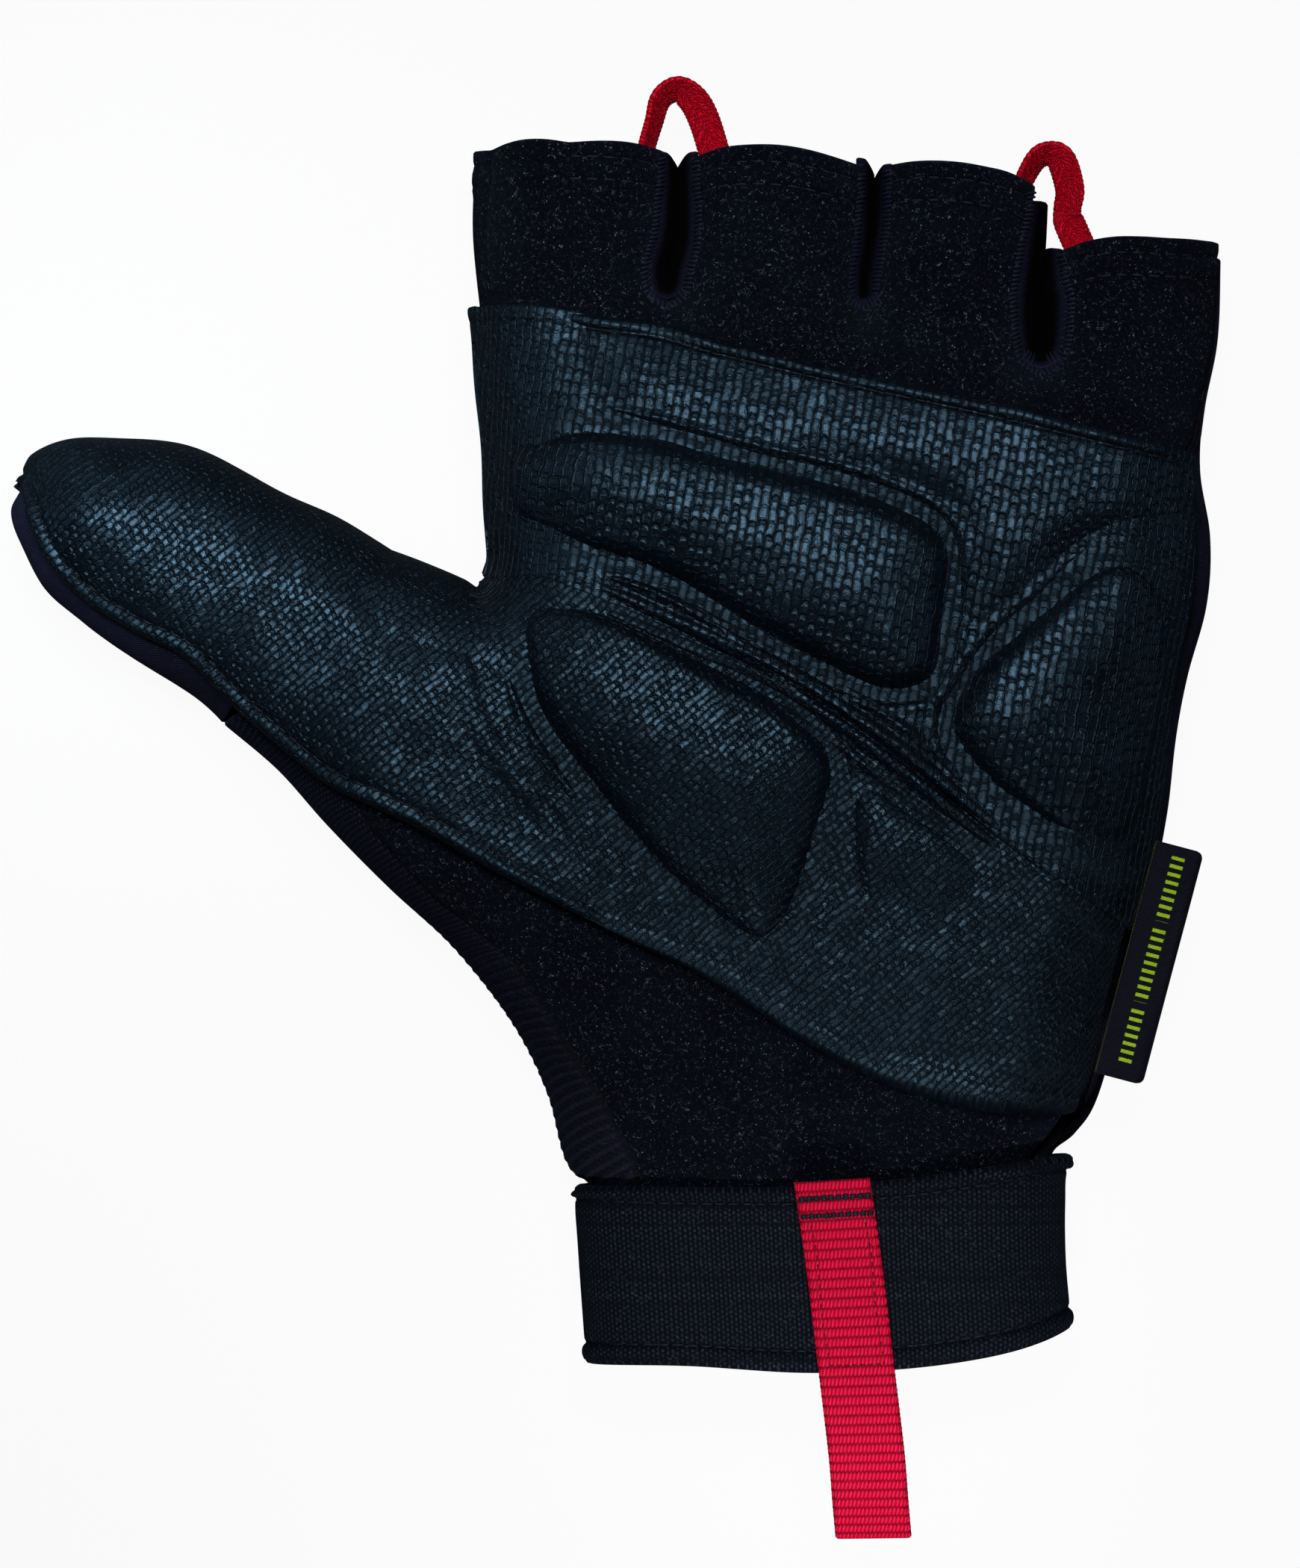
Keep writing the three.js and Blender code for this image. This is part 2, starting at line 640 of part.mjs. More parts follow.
function stripSheet(line, rows, from, to, angle, steps) {
  return gridSheet(rows, steps, (i, j) => {
    const share = lerp(from, to, i / rows);
    return tucked(roundSide(line, share, lerp(-angle, angle, j / steps)));
  });
}
addPiece('side_panel', wall(stripSheet(littleLine, SIDE_ROWS, SIDE_START, SIDE_END, SIDE_ANGLE, 3), -CLOTH, 0), 'twill');

// The walls between the fingers, each one strip down one finger, round the slot and up the next
const FORK_ROWS = 14;
const FORK_ENDS = table('from to', [[0.075, 0.925], [0.08, 0.915], [0.09, 0.87]]);
slotLines.forEach((line, i) => {
  const { from, to } = FORK_ENDS[i];
  const strip = stripSheet(line, FORK_ROWS, from, to, SLOTS[i].turn, 3);
  addPiece(`fourchette_${i + 1}`, wall(strip, -FORK_CLOTH, 0), 'rib');
});

const padRings = Object.values(PADS).map(outline);
const ridgeCurve = new THREE.CatmullRomCurve3(plan(RIDGE));
const ridgeLine = ridgeCurve.getPoints(60);

function reliefAt(x, y) {
  let lift = 0;
  for (const ring of padRings) lift = Math.max(lift, PAD_HEIGHT * smooth((depthInside(ring, x, y) + 1) / 4));
  const away = Math.min(...ridgeLine.map((p) => Math.hypot(x - p.x, y - p.y)));
  return Math.max(lift, RIDGE_HEIGHT * (1 - smooth(away / 3)));
}

// The pads and the ridge fade out towards the little-finger side
function dressed(x, y) {
  const fade = smooth((nearest(littleLine, x, y).distance - 1) / 4);
  return { ...skin(x, y, 1), lift: reliefAt(x, y) * fade };
}

// The upper grip patch, between its free edge and the ridge, from the index side to the little finger's
const UPPER_COLUMNS = 26;
const UPPER_ROWS = 11;
const RIDGE_STEP = 0.25;

function upperPatchSheet() {
  const top = new THREE.CatmullRomCurve3(plan(PATCH_TOP));
  const rightEdge = insetLine(littleLine, 1, PATCH_SIDE_ANGLE);
  return gridSheet(UPPER_COLUMNS, UPPER_ROWS, (i, j) => {
    const even = i / UPPER_COLUMNS;
    const u = lerp(even, (1 - Math.cos(Math.PI * even)) / 2, 0.8);
    const v = lerp(j / UPPER_ROWS, smooth(j / UPPER_ROWS), 0.5);
    const low = ridgeCurve.getPoint(u);
    const high = top.getPoint(u);
    const leftEnd = { low: ridgeCurve.getPoint(0), high: top.getPoint(0) };
    const rightEnd = { low: ridgeCurve.getPoint(1), high: top.getPoint(1) };
    const y = lerp(low.y + RIDGE_STEP, high.y, v);
    const leftY = lerp(leftEnd.low.y + RIDGE_STEP, leftEnd.high.y, v);
    const rightY = lerp(rightEnd.low.y + RIDGE_STEP, rightEnd.high.y, v);
    const leftBulge = widthAt(indexEdge, leftY) - lerp(leftEnd.low.x, leftEnd.high.x, v);
    const rightBulge = widthAt(rightEdge, rightY) - lerp(rightEnd.low.x, rightEnd.high.x, v);
    const x = lerp(low.x, high.x, v) + leftBulge * (1 - u) + rightBulge * u;
    return dressed(x, y);
  });
}
addPiece('grip_patch_upper', wall(upperPatchSheet(), GAP, LAYER), 'grip');

// The lower grip patch, from the tip of the thumb over the ball of the thumb to the heel
const LOWER_COLUMNS = 42;
const LOWER_ROWS = 10;

function lowerPatchSheet() {
  const lows = [...pick(THUMB_PATCH, 'low'), ...pick(HEEL_PATCH, 'low')];
  const low = new THREE.CatmullRomCurve3(plan(lows));
  const first = THUMB_PATCH.length;
  const last = lows.length - 1;
  return gridSheet(LOWER_COLUMNS, LOWER_ROWS, (i, j) => {
    const t = (last * i) / LOWER_COLUMNS;
    const lowPoint = low.getPoint(t / last);
    let high;
    if (t <= first - 1) {
      high = highLine.curve.getPoint((t + 1) / highLine.count);
    } else if (t < first) {
      const web = highLine.curve.getPoint(first / highLine.count);
      const start = ridgeCurve.getPoint(0);
      high = { x: lerp(web.x, start.x + 0.9, t - first + 1), y: lerp(web.y - 0.4, start.y - 1.3, t - first + 1) };
    } else {
      const row = Math.min(HEEL_PATCH.length - 2, Math.floor(t - first));
      const share = lerp(HEEL_PATCH[row].ridge, HEEL_PATCH[row + 1].ridge, t - first - row);
      high = ridgeCurve.getPoint(share);
      high.x += 0.9 * (1 - smooth(share / 0.12));
      high.y -= RIDGE_STEP + 1.05 * (1 - smooth(share / 0.12));
    }
    const rounding = radians(80);
    const share = 1 - (1 - Math.cos(rounding * (1 - j / LOWER_ROWS))) / (1 - Math.cos(rounding));
    return dressed(lerp(lowPoint.x, high.x, share), lerp(lowPoint.y, high.y, share));
  });
}
addPiece('grip_patch_thumb', wall(lowerPatchSheet(), GAP, LAYER), 'grip');

// The elastic cuff: a flattened ring of knit with a piped edge above and below
const CUFF_BOTTOM = table('x y', [[-6, -76.8], [8, -76.6], [27, -77.6], [45, -76.4], [57, -73.8], [64, -70.4]]);
const CUFF_SPAN = { left: -3, right: 61 };
const CUFF_TURN = 28;
const CUFF_ROWS = table('share piping', [[0, 1], [0.07, 1], [0.1, 0], [0.5, 0], [0.84, 0], [0.88, 1], [1, 1]]);

function cuffSheet() {
  return ringSheet(CUFF_TURN, CUFF_ROWS.length - 1, (i, j) => {
    const half = CUFF_TURN / 2;
    const angle = (Math.PI * i) / half;
    const across = (1 - Math.cos(angle)) / 2;
    const { share, piping } = CUFF_ROWS[j];
    const guess = lerp(CUFF_SPAN.left, CUFF_SPAN.right, across);
    const y = lerp(heightOver(CUFF_TOP, guess), heightOver(CUFF_BOTTOM, guess), share);
    const left = widthAt(lowLine.dense.slice(-60), y);
    const right = widthAt(littleLine.dense, y);
    const sheet = i % half === 0 ? 0 : i < half ? 1 : -1;
    return { ...skin(lerp(left, right, across), y, sheet), lift: piping * PIPING };
  });
}
addPiece('cuff', wall(cuffSheet(), GAP, GAP + KNIT), 'knit');

// A flat tape: a rectangle carried along a path, with the direction of its width at each point
function tape(stations, width, thickness) {
  const points = stations.map((s) => new THREE.Vector3(s.x, s.y, s.z));
  const positions = [];
  const index = [];
  stations.forEach((station, i) => {
    const before = points[Math.max(0, i - 1)];
    const after = points[Math.min(points.length - 1, i + 1)];
    const ahead = after.clone().sub(before).normalize();
    const side = station.side.clone().addScaledVector(ahead, -station.side.dot(ahead)).normalize();
    const face = new THREE.Vector3().crossVectors(side, ahead);
    for (const [a, b] of [[-1, -1], [1, -1], [1, 1], [-1, 1]]) {
      const corner = points[i].clone().addScaledVector(side, (a * width) / 2);
      positions.push(...corner.addScaledVector(face, (b * thickness) / 2).toArray());
    }
  });
  for (let i = 0; i + 1 < stations.length; i++) {
    for (let k = 0; k < 4; k++) {
      const a = 4 * i + k;
      const b = 4 * i + ((k + 1) % 4);
      index.push(a, a + 4, b, b, a + 4, b + 4);
    }
  }
  const end = 4 * (stations.length - 1);
  index.push(0, 1, 2, 0, 2, 3, end, end + 2, end + 1, end, end + 3, end + 2);
  const geometry = new THREE.BufferGeometry();
  geometry.setAttribute('position', new THREE.Float32BufferAttribute(positions, 3));
  geometry.setIndex(index);
  return geometry;
}

// The pull tab: webbing doubled back on itself, sewn over the cuff, its folded end free
const TAB_PATH = table('x y drop', [
  [29.9, -52.4, 0], [31.6, -64, 0], [33.2, -77.5, 0], [34, -84, 0.6], [34.7, -90, 2], [35.2, -96, 4.2], [35.6, -100.2, 6.4],
]);
const TAB_SPREAD = TAPE + GAP;

function tabStations() {
  const cuffTop = BODY.wrist.middle + BODY.wrist.rise + GAP + KNIT + PIPING;
  const lower = cuffTop + GAP + TAPE / 2;
  const side = new THREE.Vector3(1, 0.13, 0).normalize();
  const front = TAB_PATH.map((p) => ({ x: p.x, y: p.y, z: lower + TAB_SPREAD - p.drop, side }));
  const back = TAB_PATH.map((p) => ({ x: p.x, y: p.y, z: lower - p.drop, side })).reverse();
  const fold = front[front.length - 1];
  const turn = { x: fold.x + 0.1, y: fold.y - 0.85, z: fold.z - TAB_SPREAD / 2 - 0.4, side };
  return [...front, turn, ...back];
}
addPiece('pull_tab', tape(tabStations(), TAB_WIDTH, TAPE), 'red');

// The two pull loops at the finger hems: tape that starts on edge and turns to lie flat
const LOOPS = [
  table('x y z turn', [
    [3.6, 87.5, 13.4, 64], [4.1, 91.5, 13.6, 64], [5.2, 95.4, 14.2, 62], [6.1, 98.4, 14.8, 54],
    [8.1, 99.9, 15.4, 42], [10.5, 98.7, 15.6, 22], [12, 96.2, 15.2, 8], [13.1, 93, 14.7, 0], [14.4, 88.4, 14.5, 0],
  ]),
  table('x y z turn', [
    [55.2, 82, 13.2, 60], [56.2, 86, 13.6, 60], [57.8, 89.4, 14.4, 56], [60.2, 90.9, 15.2, 40],
    [62.2, 89.3, 15.6, 24], [63, 86.2, 15.4, 8], [62.9, 83, 15, 0], [64.1, 80, 14.6, 0], [67.2, 74.4, 14.5, 0],
  ]),
];
const LOOP_STEPS = 20;

function loopStations(rows) {
  const path = new THREE.CatmullRomCurve3(rows.map((row) => new THREE.Vector3(row.x, row.y, row.z)));
  return Array.from({ length: LOOP_STEPS + 1 }, (_, i) => {
    const share = i / LOOP_STEPS;
    const at = path.getPoint(share);
    const ahead = path.getTangent(share);
    const turn = polylineAt(rows.map((row) => ({ x: row.turn, y: 0 })), share * (rows.length - 1)).x;
    const flat = new THREE.Vector3(-ahead.y, ahead.x, 0).normalize();
    const side = flat.multiplyScalar(Math.cos(radians(turn))).add(new THREE.Vector3(0, 0, Math.sin(radians(turn))));
    return { x: at.x, y: at.y, z: at.z, side };
  });
}
LOOPS.forEach((rows, i) => addPiece(`finger_loop_${i + 1}`, tape(loopStations(rows), LOOP_WIDTH, TAPE), 'red'));

// The side label: a ribbon folded over along its outer edge, its two layers sewn at the side seam
const LABEL = {
  top: { x: 75.6, y: -4.6 },
  bottom: { x: 67.1, y: -36.7 },
  reach: 5.9,
  height: 22.8,
  layer: 0.8,
  opening: 1.4,
};

function labelGeometry() {
  const fold = LABEL.opening / 2 + LABEL.layer;
  const shape = new THREE.Shape();
  shape.moveTo(0, fold);
  shape.lineTo(LABEL.reach - fold, fold);
  shape.absarc(LABEL.reach - fold, 0, fold, Math.PI / 2, -Math.PI / 2, true);
  shape.lineTo(0, -fold);
  shape.lineTo(0, -LABEL.opening / 2);
  shape.lineTo(LABEL.reach - fold, -LABEL.opening / 2);
  shape.absarc(LABEL.reach - fold, 0, LABEL.opening / 2, -Math.PI / 2, Math.PI / 2, false);
  shape.lineTo(0, LABEL.opening / 2);
  const dx = LABEL.bottom.x - LABEL.top.x;
  const dy = LABEL.bottom.y - LABEL.top.y;
  const length = Math.hypot(dx, dy);
  const geometry = new THREE.ExtrudeGeometry(shape, { depth: length, bevelEnabled: false, curveSegments: 6 });
  const along = new THREE.Vector3(dx / length, dy / length, 0);
  const up = new THREE.Vector3(0, 0, 1);
  const out = new THREE.Vector3().crossVectors(up, along);
  geometry.applyMatrix4(new THREE.Matrix4().makeBasis(out, up, along));
  return geometry.translate(LABEL.top.x, LABEL.top.y, LABEL.height);
}
addPiece('label_loop', labelGeometry(), 'label');

export default glove;
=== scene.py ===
import math
import bpy
import numpy as np
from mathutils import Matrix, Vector


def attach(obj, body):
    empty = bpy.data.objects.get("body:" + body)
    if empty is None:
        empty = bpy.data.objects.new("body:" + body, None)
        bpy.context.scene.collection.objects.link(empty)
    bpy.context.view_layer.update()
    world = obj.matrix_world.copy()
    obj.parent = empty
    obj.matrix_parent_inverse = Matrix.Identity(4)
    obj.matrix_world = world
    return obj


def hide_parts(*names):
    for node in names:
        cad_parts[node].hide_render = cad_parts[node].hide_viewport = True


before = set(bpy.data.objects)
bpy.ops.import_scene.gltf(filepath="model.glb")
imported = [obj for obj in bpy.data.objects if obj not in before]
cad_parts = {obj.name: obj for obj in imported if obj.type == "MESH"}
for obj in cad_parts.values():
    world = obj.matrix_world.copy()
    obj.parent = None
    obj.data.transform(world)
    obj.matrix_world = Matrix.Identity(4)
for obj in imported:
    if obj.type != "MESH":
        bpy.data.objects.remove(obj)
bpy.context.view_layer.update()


# The palm panel
# One piece of thin dark suede, cut like a comb: the palm and the fronts of the four open finger stubs.
# Every other piece is sewn to it. It lies over the stuffed shape of the glove, which all the pieces share,
# so the glove's outline, its rounded sides and its seams start here. Sizes are in millimetres.
MM = 0.001
CENTRE = (0.046, -0.179)
CLOTH = 1.4
PATCH = 1.5
GAP = 0.3
LAYER = GAP + PATCH
UNDERLAP = 0.9
WRIST_END = -57.0
ON_LINE = 0.05
CURVE_STEPS = 16

PALM_BODY = (12.5, 14.0, 0.0)
FINGER_BODY = (11.0, 10.0, 0.0)
THUMB_BODY = (11.5, 10.5, 0.0)
WRIST_BODY = (12.0, 10.0, 2.2)
BODY_BLENDS = (
    (FINGER_BODY, (0, 46), (0, 1), 28),
    (WRIST_BODY, (0, -33), (0, -1), 13),
    (THUMB_BODY, (-20, 22), (-0.87, 0.49), 28),
)
MOUNDS = ((4, 4, 30, 1.6), (50, -20, 28, 1.2), (32, 44, 30, 0.8))

TIP = (-82.3, 44.9)
THUMB_SEAM = [(-80.4, 43.9), (-79.1, 40.3), (-76.6, 35.6), (-71.8, 30.7), (-65.9, 27.1), (-60.6, 24.4),
              (-57, 21.6), (-54.6, 19.2), (-52, 16.6)]
THUMB_LOW = [(-84.1, 41.6), (-82.6, 36), (-79.8, 30.4), (-74.6, 26.2), (-67.8, 21.5), (-62, 17.5),
             (-58.6, 15.1), (-56.6, 13.5), (-55, 12.1)]
THUMB_HIGH = [(-80.4, 47.7), (-76, 49.9), (-68.5, 49.9), (-60.8, 48.9), (-53, 45.4), (-44.5, 41.3),
              (-35.5, 37.3), (-27.2, 34.2), (-21.3, 31.7)]
GUSSET_PALM = [(-48.5, 14.2), (-37.6, 4.2), (-34.3, -2.5), (-25.1, -12.5), (-14, -21.2), (-7.2, -32.3),
               (-2, -40.4), (2.6, -48.8), (3.2, -53), (3.9, -57)]
GUSSET_EDGE = [(-54.5, 11.6), (-47.2, 5.4), (-40.3, -2.3), (-31.3, -11.4), (-22.3, -19.6), (-14.3, -29.6),
               (-9.3, -39.6), (-6.8, -48.8), (-4.3, -52.8), (-3.8, -57)]
GUSSET_BACK = [(-43.5, 16.6), (-36.5, 9), (-28, 0), (-19, -10), (-10, -20), (-2, -30), (4, -40),
               (6.6, -48.8), (7.4, -53), (8.5, -57)]
WRIST_SIDE = [(-3.3, -63), (-2.5, -77), (-2.3, -92)]
INDEX_SIDE = [(-19, 30.5), (-17.3, 31.9), (-16.5, 34.4), (-16.4, 38), (-17.1, 50), (-18.5, 65), (-20, 79),
              (-19.6, 90), (-19.4, 104)]
LITTLE_SIDE = [(84.7, 104), (84.6, 87), (84.2, 76), (83.6, 64.8), (82, 55.4), (81.5, 47), (82.5, 38),
               (82, 28), (79.8, 18.5), (77.8, 8.6), (76.4, -1), (74.4, -12), (71.2, -22), (68.8, -32),
               (67.6, -37.8), (65.9, -42.6), (63, -46.6), (61.1, -50), (60.8, -55), (60.9, -63), (61.6, -73),
               (61.8, -92)]
SLOTS = (
    {"turns": (26, 33, 35, 35, 34, 35, 36, 34, 26),
     "line": [(8.2, 104), (8.2, 84), (7.9, 79), (6.8, 75), (7.1, 72.6), (7.6, 75), (8.6, 79), (8.8, 84),
              (8.8, 104)]},
    {"turns": (27, 28, 24, 22, 24, 24, 25, 28, 27),
     "line": [(35.6, 104), (35.5, 84), (35, 79), (34.2, 74), (34.4, 71.4), (34.8, 74), (35.6, 79), (36, 84),
              (36.2, 104)]},
    {"turns": (16, 40, 41, 39, 38, 39, 41, 24, 12),
     "line": [(60.1, 104), (59.3, 78), (58.5, 71), (58.5, 66), (58.9, 63.6), (59.4, 66), (59.5, 71),
              (60.2, 78), (61, 104)]},
)
HEMS = (
    (91.3, 92.3, 92.5, 92.35, 92.2, 91.85, 91.0),
    (90.2, 91.3, 91.55, 91.45, 90.85, 89.9, 88.8),
    (88.9, 89.3, 89.35, 89.1, 88.5, 87.75, 86.2),
    (77.2, 78.5, 79.0, 78.95, 78.75, 78.7, 78.5),
)


def smooth(share):
    share = np.clip(share, 0, 1)
    return share * share * (3 - 2 * share)


def mix(a, b, share):
    return a + (b - a) * share


def unit(vectors):
    return vectors / np.linalg.norm(vectors, axis=-1, keepdims=True)


def run_along(line):
    """The distance of each point of a line from its start."""
    return np.concatenate([[0], np.cumsum(np.linalg.norm(np.diff(line, axis=0), axis=1))])


def run_across(grid):
    """The same across each column of a grid of points."""
    return np.cumsum(np.linalg.norm(np.diff(grid, axis=1, prepend=grid[:, :1]), axis=2), axis=1)


def curve_through(points, closed=False, steps=CURVE_STEPS):
    """A smooth line through points, as the seam of a soft piece runs."""
    p = np.asarray(points, float)
    p = np.vstack([p[-1:], p, p[:2]]) if closed else np.vstack([2 * p[:1] - p[1:2], p, 2 * p[-1:] - p[-2:-1]])
    t = np.linspace(0, 1, steps, endpoint=False)[:, None]
    pieces = []
    for a, b, c, d in zip(p, p[1:], p[2:], p[3:]):
        before, here, after = (math.sqrt(np.linalg.norm(v)) for v in (b - a, c - b, d - c))
        start = here * ((b - a) / before - (c - a) / (before + here) + (c - b) / here)
        end = here * ((c - b) / here - (d - b) / (here + after) + (d - c) / after)
        bend, turn = 3 * (c - b) - 2 * start - end, 2 * (b - c) + start + end
        pieces.append(b + start * t + bend * t**2 + turn * t**3)
    pieces.append(p[-2:-1])
    return np.vstack(pieces)


def at_share(line, share):
    """Points on a sampled line, by share of its samples from 0 to 1."""
    place = np.clip(share, 0, 1) * (len(line) - 1)
    low = np.minimum(place.astype(int) if isinstance(place, np.ndarray) else int(place), len(line) - 2)
    return line[low] + (line[low + 1] - line[low]) * np.asarray(place - low)[..., None]


def evenly(line, step):
    """The same line with a point every step along it, and each point's distance from the start."""
    run = run_along(line)
    count = max(2, int(round(run[-1] / step)) + 1)
    places = np.linspace(0, run[-1], count)
    return np.stack([np.interp(places, run, line[:, i]) for i in range(line.shape[1])], axis=1), places


def nearest_on(line, xy):
    """Distance to a sampled line, the vector from the line to the point, the run along it and the segment."""
    start = line[:-1]
    ahead = np.diff(line, axis=0)
    squared = np.maximum((ahead**2).sum(1), 1e-12)
    run = np.concatenate([[0], np.cumsum(np.sqrt(squared))])
    distance, offset, along, segment = np.empty(len(xy)), np.empty((len(xy), 2)), np.empty(len(xy)), []
    for k in range(0, len(xy), 4000):
        p = xy[k:k + 4000, None] - start[None]
        t = np.clip((p * ahead).sum(2) / squared, 0, 1)
        off = p - t[..., None] * ahead
        gap = np.hypot(off[..., 0], off[..., 1])
        best = gap.argmin(1)
        row = np.arange(len(best))
        distance[k:k + 4000] = gap[row, best]
        offset[k:k + 4000] = off[row, best]
        along[k:k + 4000] = run[best] + t[row, best] * np.sqrt(squared[best])
        segment.append(best)
    return distance, offset, along, np.concatenate(segment)


class SideLine:
    """An edge of the glove in plan, the side that the glove is on and how far its rounding reaches in."""

    def __init__(self, points, inward, reach, back_reach):
        self.line = curve_through(points)
        self.spans = len(points) - 1
        self.inward, self.reach, self.back_reach = inward, reach, back_reach

    def rounding(self, sheet):
        return self.back_reach if sheet < 0 else self.reach

    def inward_at(self, share):
        step = 0.5 / (len(self.line) - 1)
        ahead = at_share(self.line, share + step) - at_share(self.line, share - step)
        return unit(np.stack([-ahead[..., 1], ahead[..., 0]], -1) * self.inward)

    def moved_in(self, sheet, turn):
        """The line moved in to where its rounded side has turned by an angle."""
        share = np.linspace(0, 1, len(self.line))
        depth = self.rounding(sheet) * (1 - np.cos(np.radians(np.broadcast_to(turn, len(share)))))
        return self.line + self.inward_at(share) * depth[:, None]


low_side = SideLine([TIP, *THUMB_LOW, *GUSSET_EDGE, *WRIST_SIDE], 1, 14, 11)
high_side = SideLine([TIP, *THUMB_HIGH, *INDEX_SIDE], -1, 12, 9)
little_side = SideLine(LITTLE_SIDE, -1, 15, 12)
slot_sides = [SideLine(slot["line"], -1, 11, 9) for slot in SLOTS]
ALL_SIDES = [low_side, high_side, little_side, *slot_sides]


def slot_turn(slot, count):
    """How far round its side the palm is cut away, along a slot."""
    return np.interp(np.linspace(0, 1, count), np.linspace(0, 1, len(slot["turns"])), slot["turns"])


def side_turn(y):
    """The same for the little-finger side: the palm reaches round nearly to the edge on the finger."""
    return mix(SIDE_TURN, FINGER_SIDE_TURN, np.clip((np.asarray(y) - 42) / 14, 0, 1))


def body_at(xy):
    body = np.tile(np.array(PALM_BODY), (len(xy), 1))
    for target, start, direction, length in BODY_BLENDS:
        share = smooth(((xy - start) @ np.array(direction)) / length)
        body = mix(body, np.array(target), share[:, None])
    return body


def mounds_at(xy):
    return sum(h * np.exp(-((xy - (x, y))**2).sum(1) / r**2) for x, y, r, h in MOUNDS)


def skin(xy, sheet):
    """The stuffed shape over plan points: points, outward normals and the flat cloth. Sheet 1 is the palm."""
    xy = np.asarray(xy, float)
    body = body_at(xy)
    if sheet < 0:
        height = body[:, 0] - body[:, 2]
    else:
        height = body[:, 1] + mounds_at(xy)
    rises, pushes = [], []
    flat = xy.copy()
    for side in ALL_SIDES:
        distance, offset, _, segment = nearest_on(side.line, xy)
        ahead = np.diff(side.line, axis=0)[segment]
        across = unit(np.stack([-ahead[:, 1], ahead[:, 0]], 1) * side.inward)
        on = distance < ON_LINE
        direction = np.where(on[:, None], across, offset / np.maximum(distance, ON_LINE)[:, None])
        reach = side.rounding(sheet)
        left = 1 - np.minimum(1, distance / reach)
        rises.append(np.where(on, 0, np.sqrt(1 - left**2)))
        pushes.append(direction * (left / reach)[:, None])
        flat -= direction * (reach * (np.arcsin(left) - left))[:, None]
    rises = np.array(rises)
    full = rises.prod(0)
    normal = np.zeros((len(xy), 3))
    normal[:, 2] = sheet * full
    for i, push in enumerate(pushes):
        others = np.delete(rises, i, 0).prod(0)
        normal[:, :2] -= push * (height * others**2)[:, None]
    normal /= np.maximum(np.linalg.norm(normal, axis=1, keepdims=True), 1e-9)
    z = body[:, 0] + sheet * height * full + np.where(full == 0, sheet * GAP / 2, 0)
    return np.column_stack([xy, z]), normal, flat


def round_side(side, share, turn):
    """Points on a rounded side by its share along the line and its turn: 0 is the very edge, 90 the flat."""
    inward = side.inward_at(share)
    angle = np.radians(turn)
    reach = np.where(turn < 0, side.back_reach, side.reach)
    xy = at_share(side.line, share) + inward * (reach * (1 - np.cos(angle)))[:, None]
    body = body_at(xy)
    height = np.where(turn < 0, body[:, 0] - body[:, 2], body[:, 1] + mounds_at(xy))
    normal = np.column_stack([-inward * (np.cos(angle) / reach)[:, None], np.sin(angle) / height])
    return np.column_stack([xy, body[:, 0] + height * np.sin(angle)]), unit(normal)


def ripple(xy, size, height, seed):
    """The slow unevenness of sewn cloth: a few crossing waves of about one size."""
    rng = np.random.default_rng(seed)
    total = np.zeros(len(xy))
    for _ in range(7):
        heading = rng.uniform(0, math.tau)
        wave = rng.uniform(0.7, 1.5) * size
        phase = rng.uniform(0, math.tau)
        total += np.sin((xy @ np.array([math.cos(heading), math.sin(heading)])) * math.tau / wave + phase)
    return total * height / 2.6


def grid_quads(columns, rows, ring=False):
    """Quads of a grid of columns by rows of cells; a ring joins its last column to its first."""
    i, j = np.meshgrid(np.arange(columns), np.arange(rows), indexing="ij")
    step = rows + 1
    following = (i + 1) % columns if ring else i + 1
    quads = np.stack([i * step + j, following * step + j, following * step + j + 1, i * step + j + 1], -1)
    return quads.reshape(-1, 4)


def as_object(name, positions, faces, uv=None, fields=None):
    """A mesh object in metres from positions in millimetres, with a flat-cloth map and named fields."""
    mesh = bpy.data.meshes.new(name)
    placed = (np.asarray(positions) - np.array([*CENTRE, 0])) * MM
    mesh.from_pydata(placed.tolist(), [], [list(face) for face in faces])
    mesh.polygons.foreach_set("use_smooth", [True] * len(mesh.polygons))
    if uv is not None:
        corner = np.empty(len(mesh.loops), np.int32)
        mesh.loops.foreach_get("vertex_index", corner)
        layer = mesh.uv_layers.new(name="cloth")
        layer.data.foreach_set("uv", np.asarray(uv, float)[corner].ravel())
    for label, values in (fields or {}).items():
        attribute = mesh.attributes.new(label, "FLOAT", "POINT")
        attribute.data.foreach_set("value", np.asarray(values, np.float32))
    mesh.update()
    piece = bpy.data.objects.new(name, mesh)
    bpy.context.scene.collection.objects.link(piece)
    return piece


RIM_STEPS = 4
RIM_ROLL = 0.6


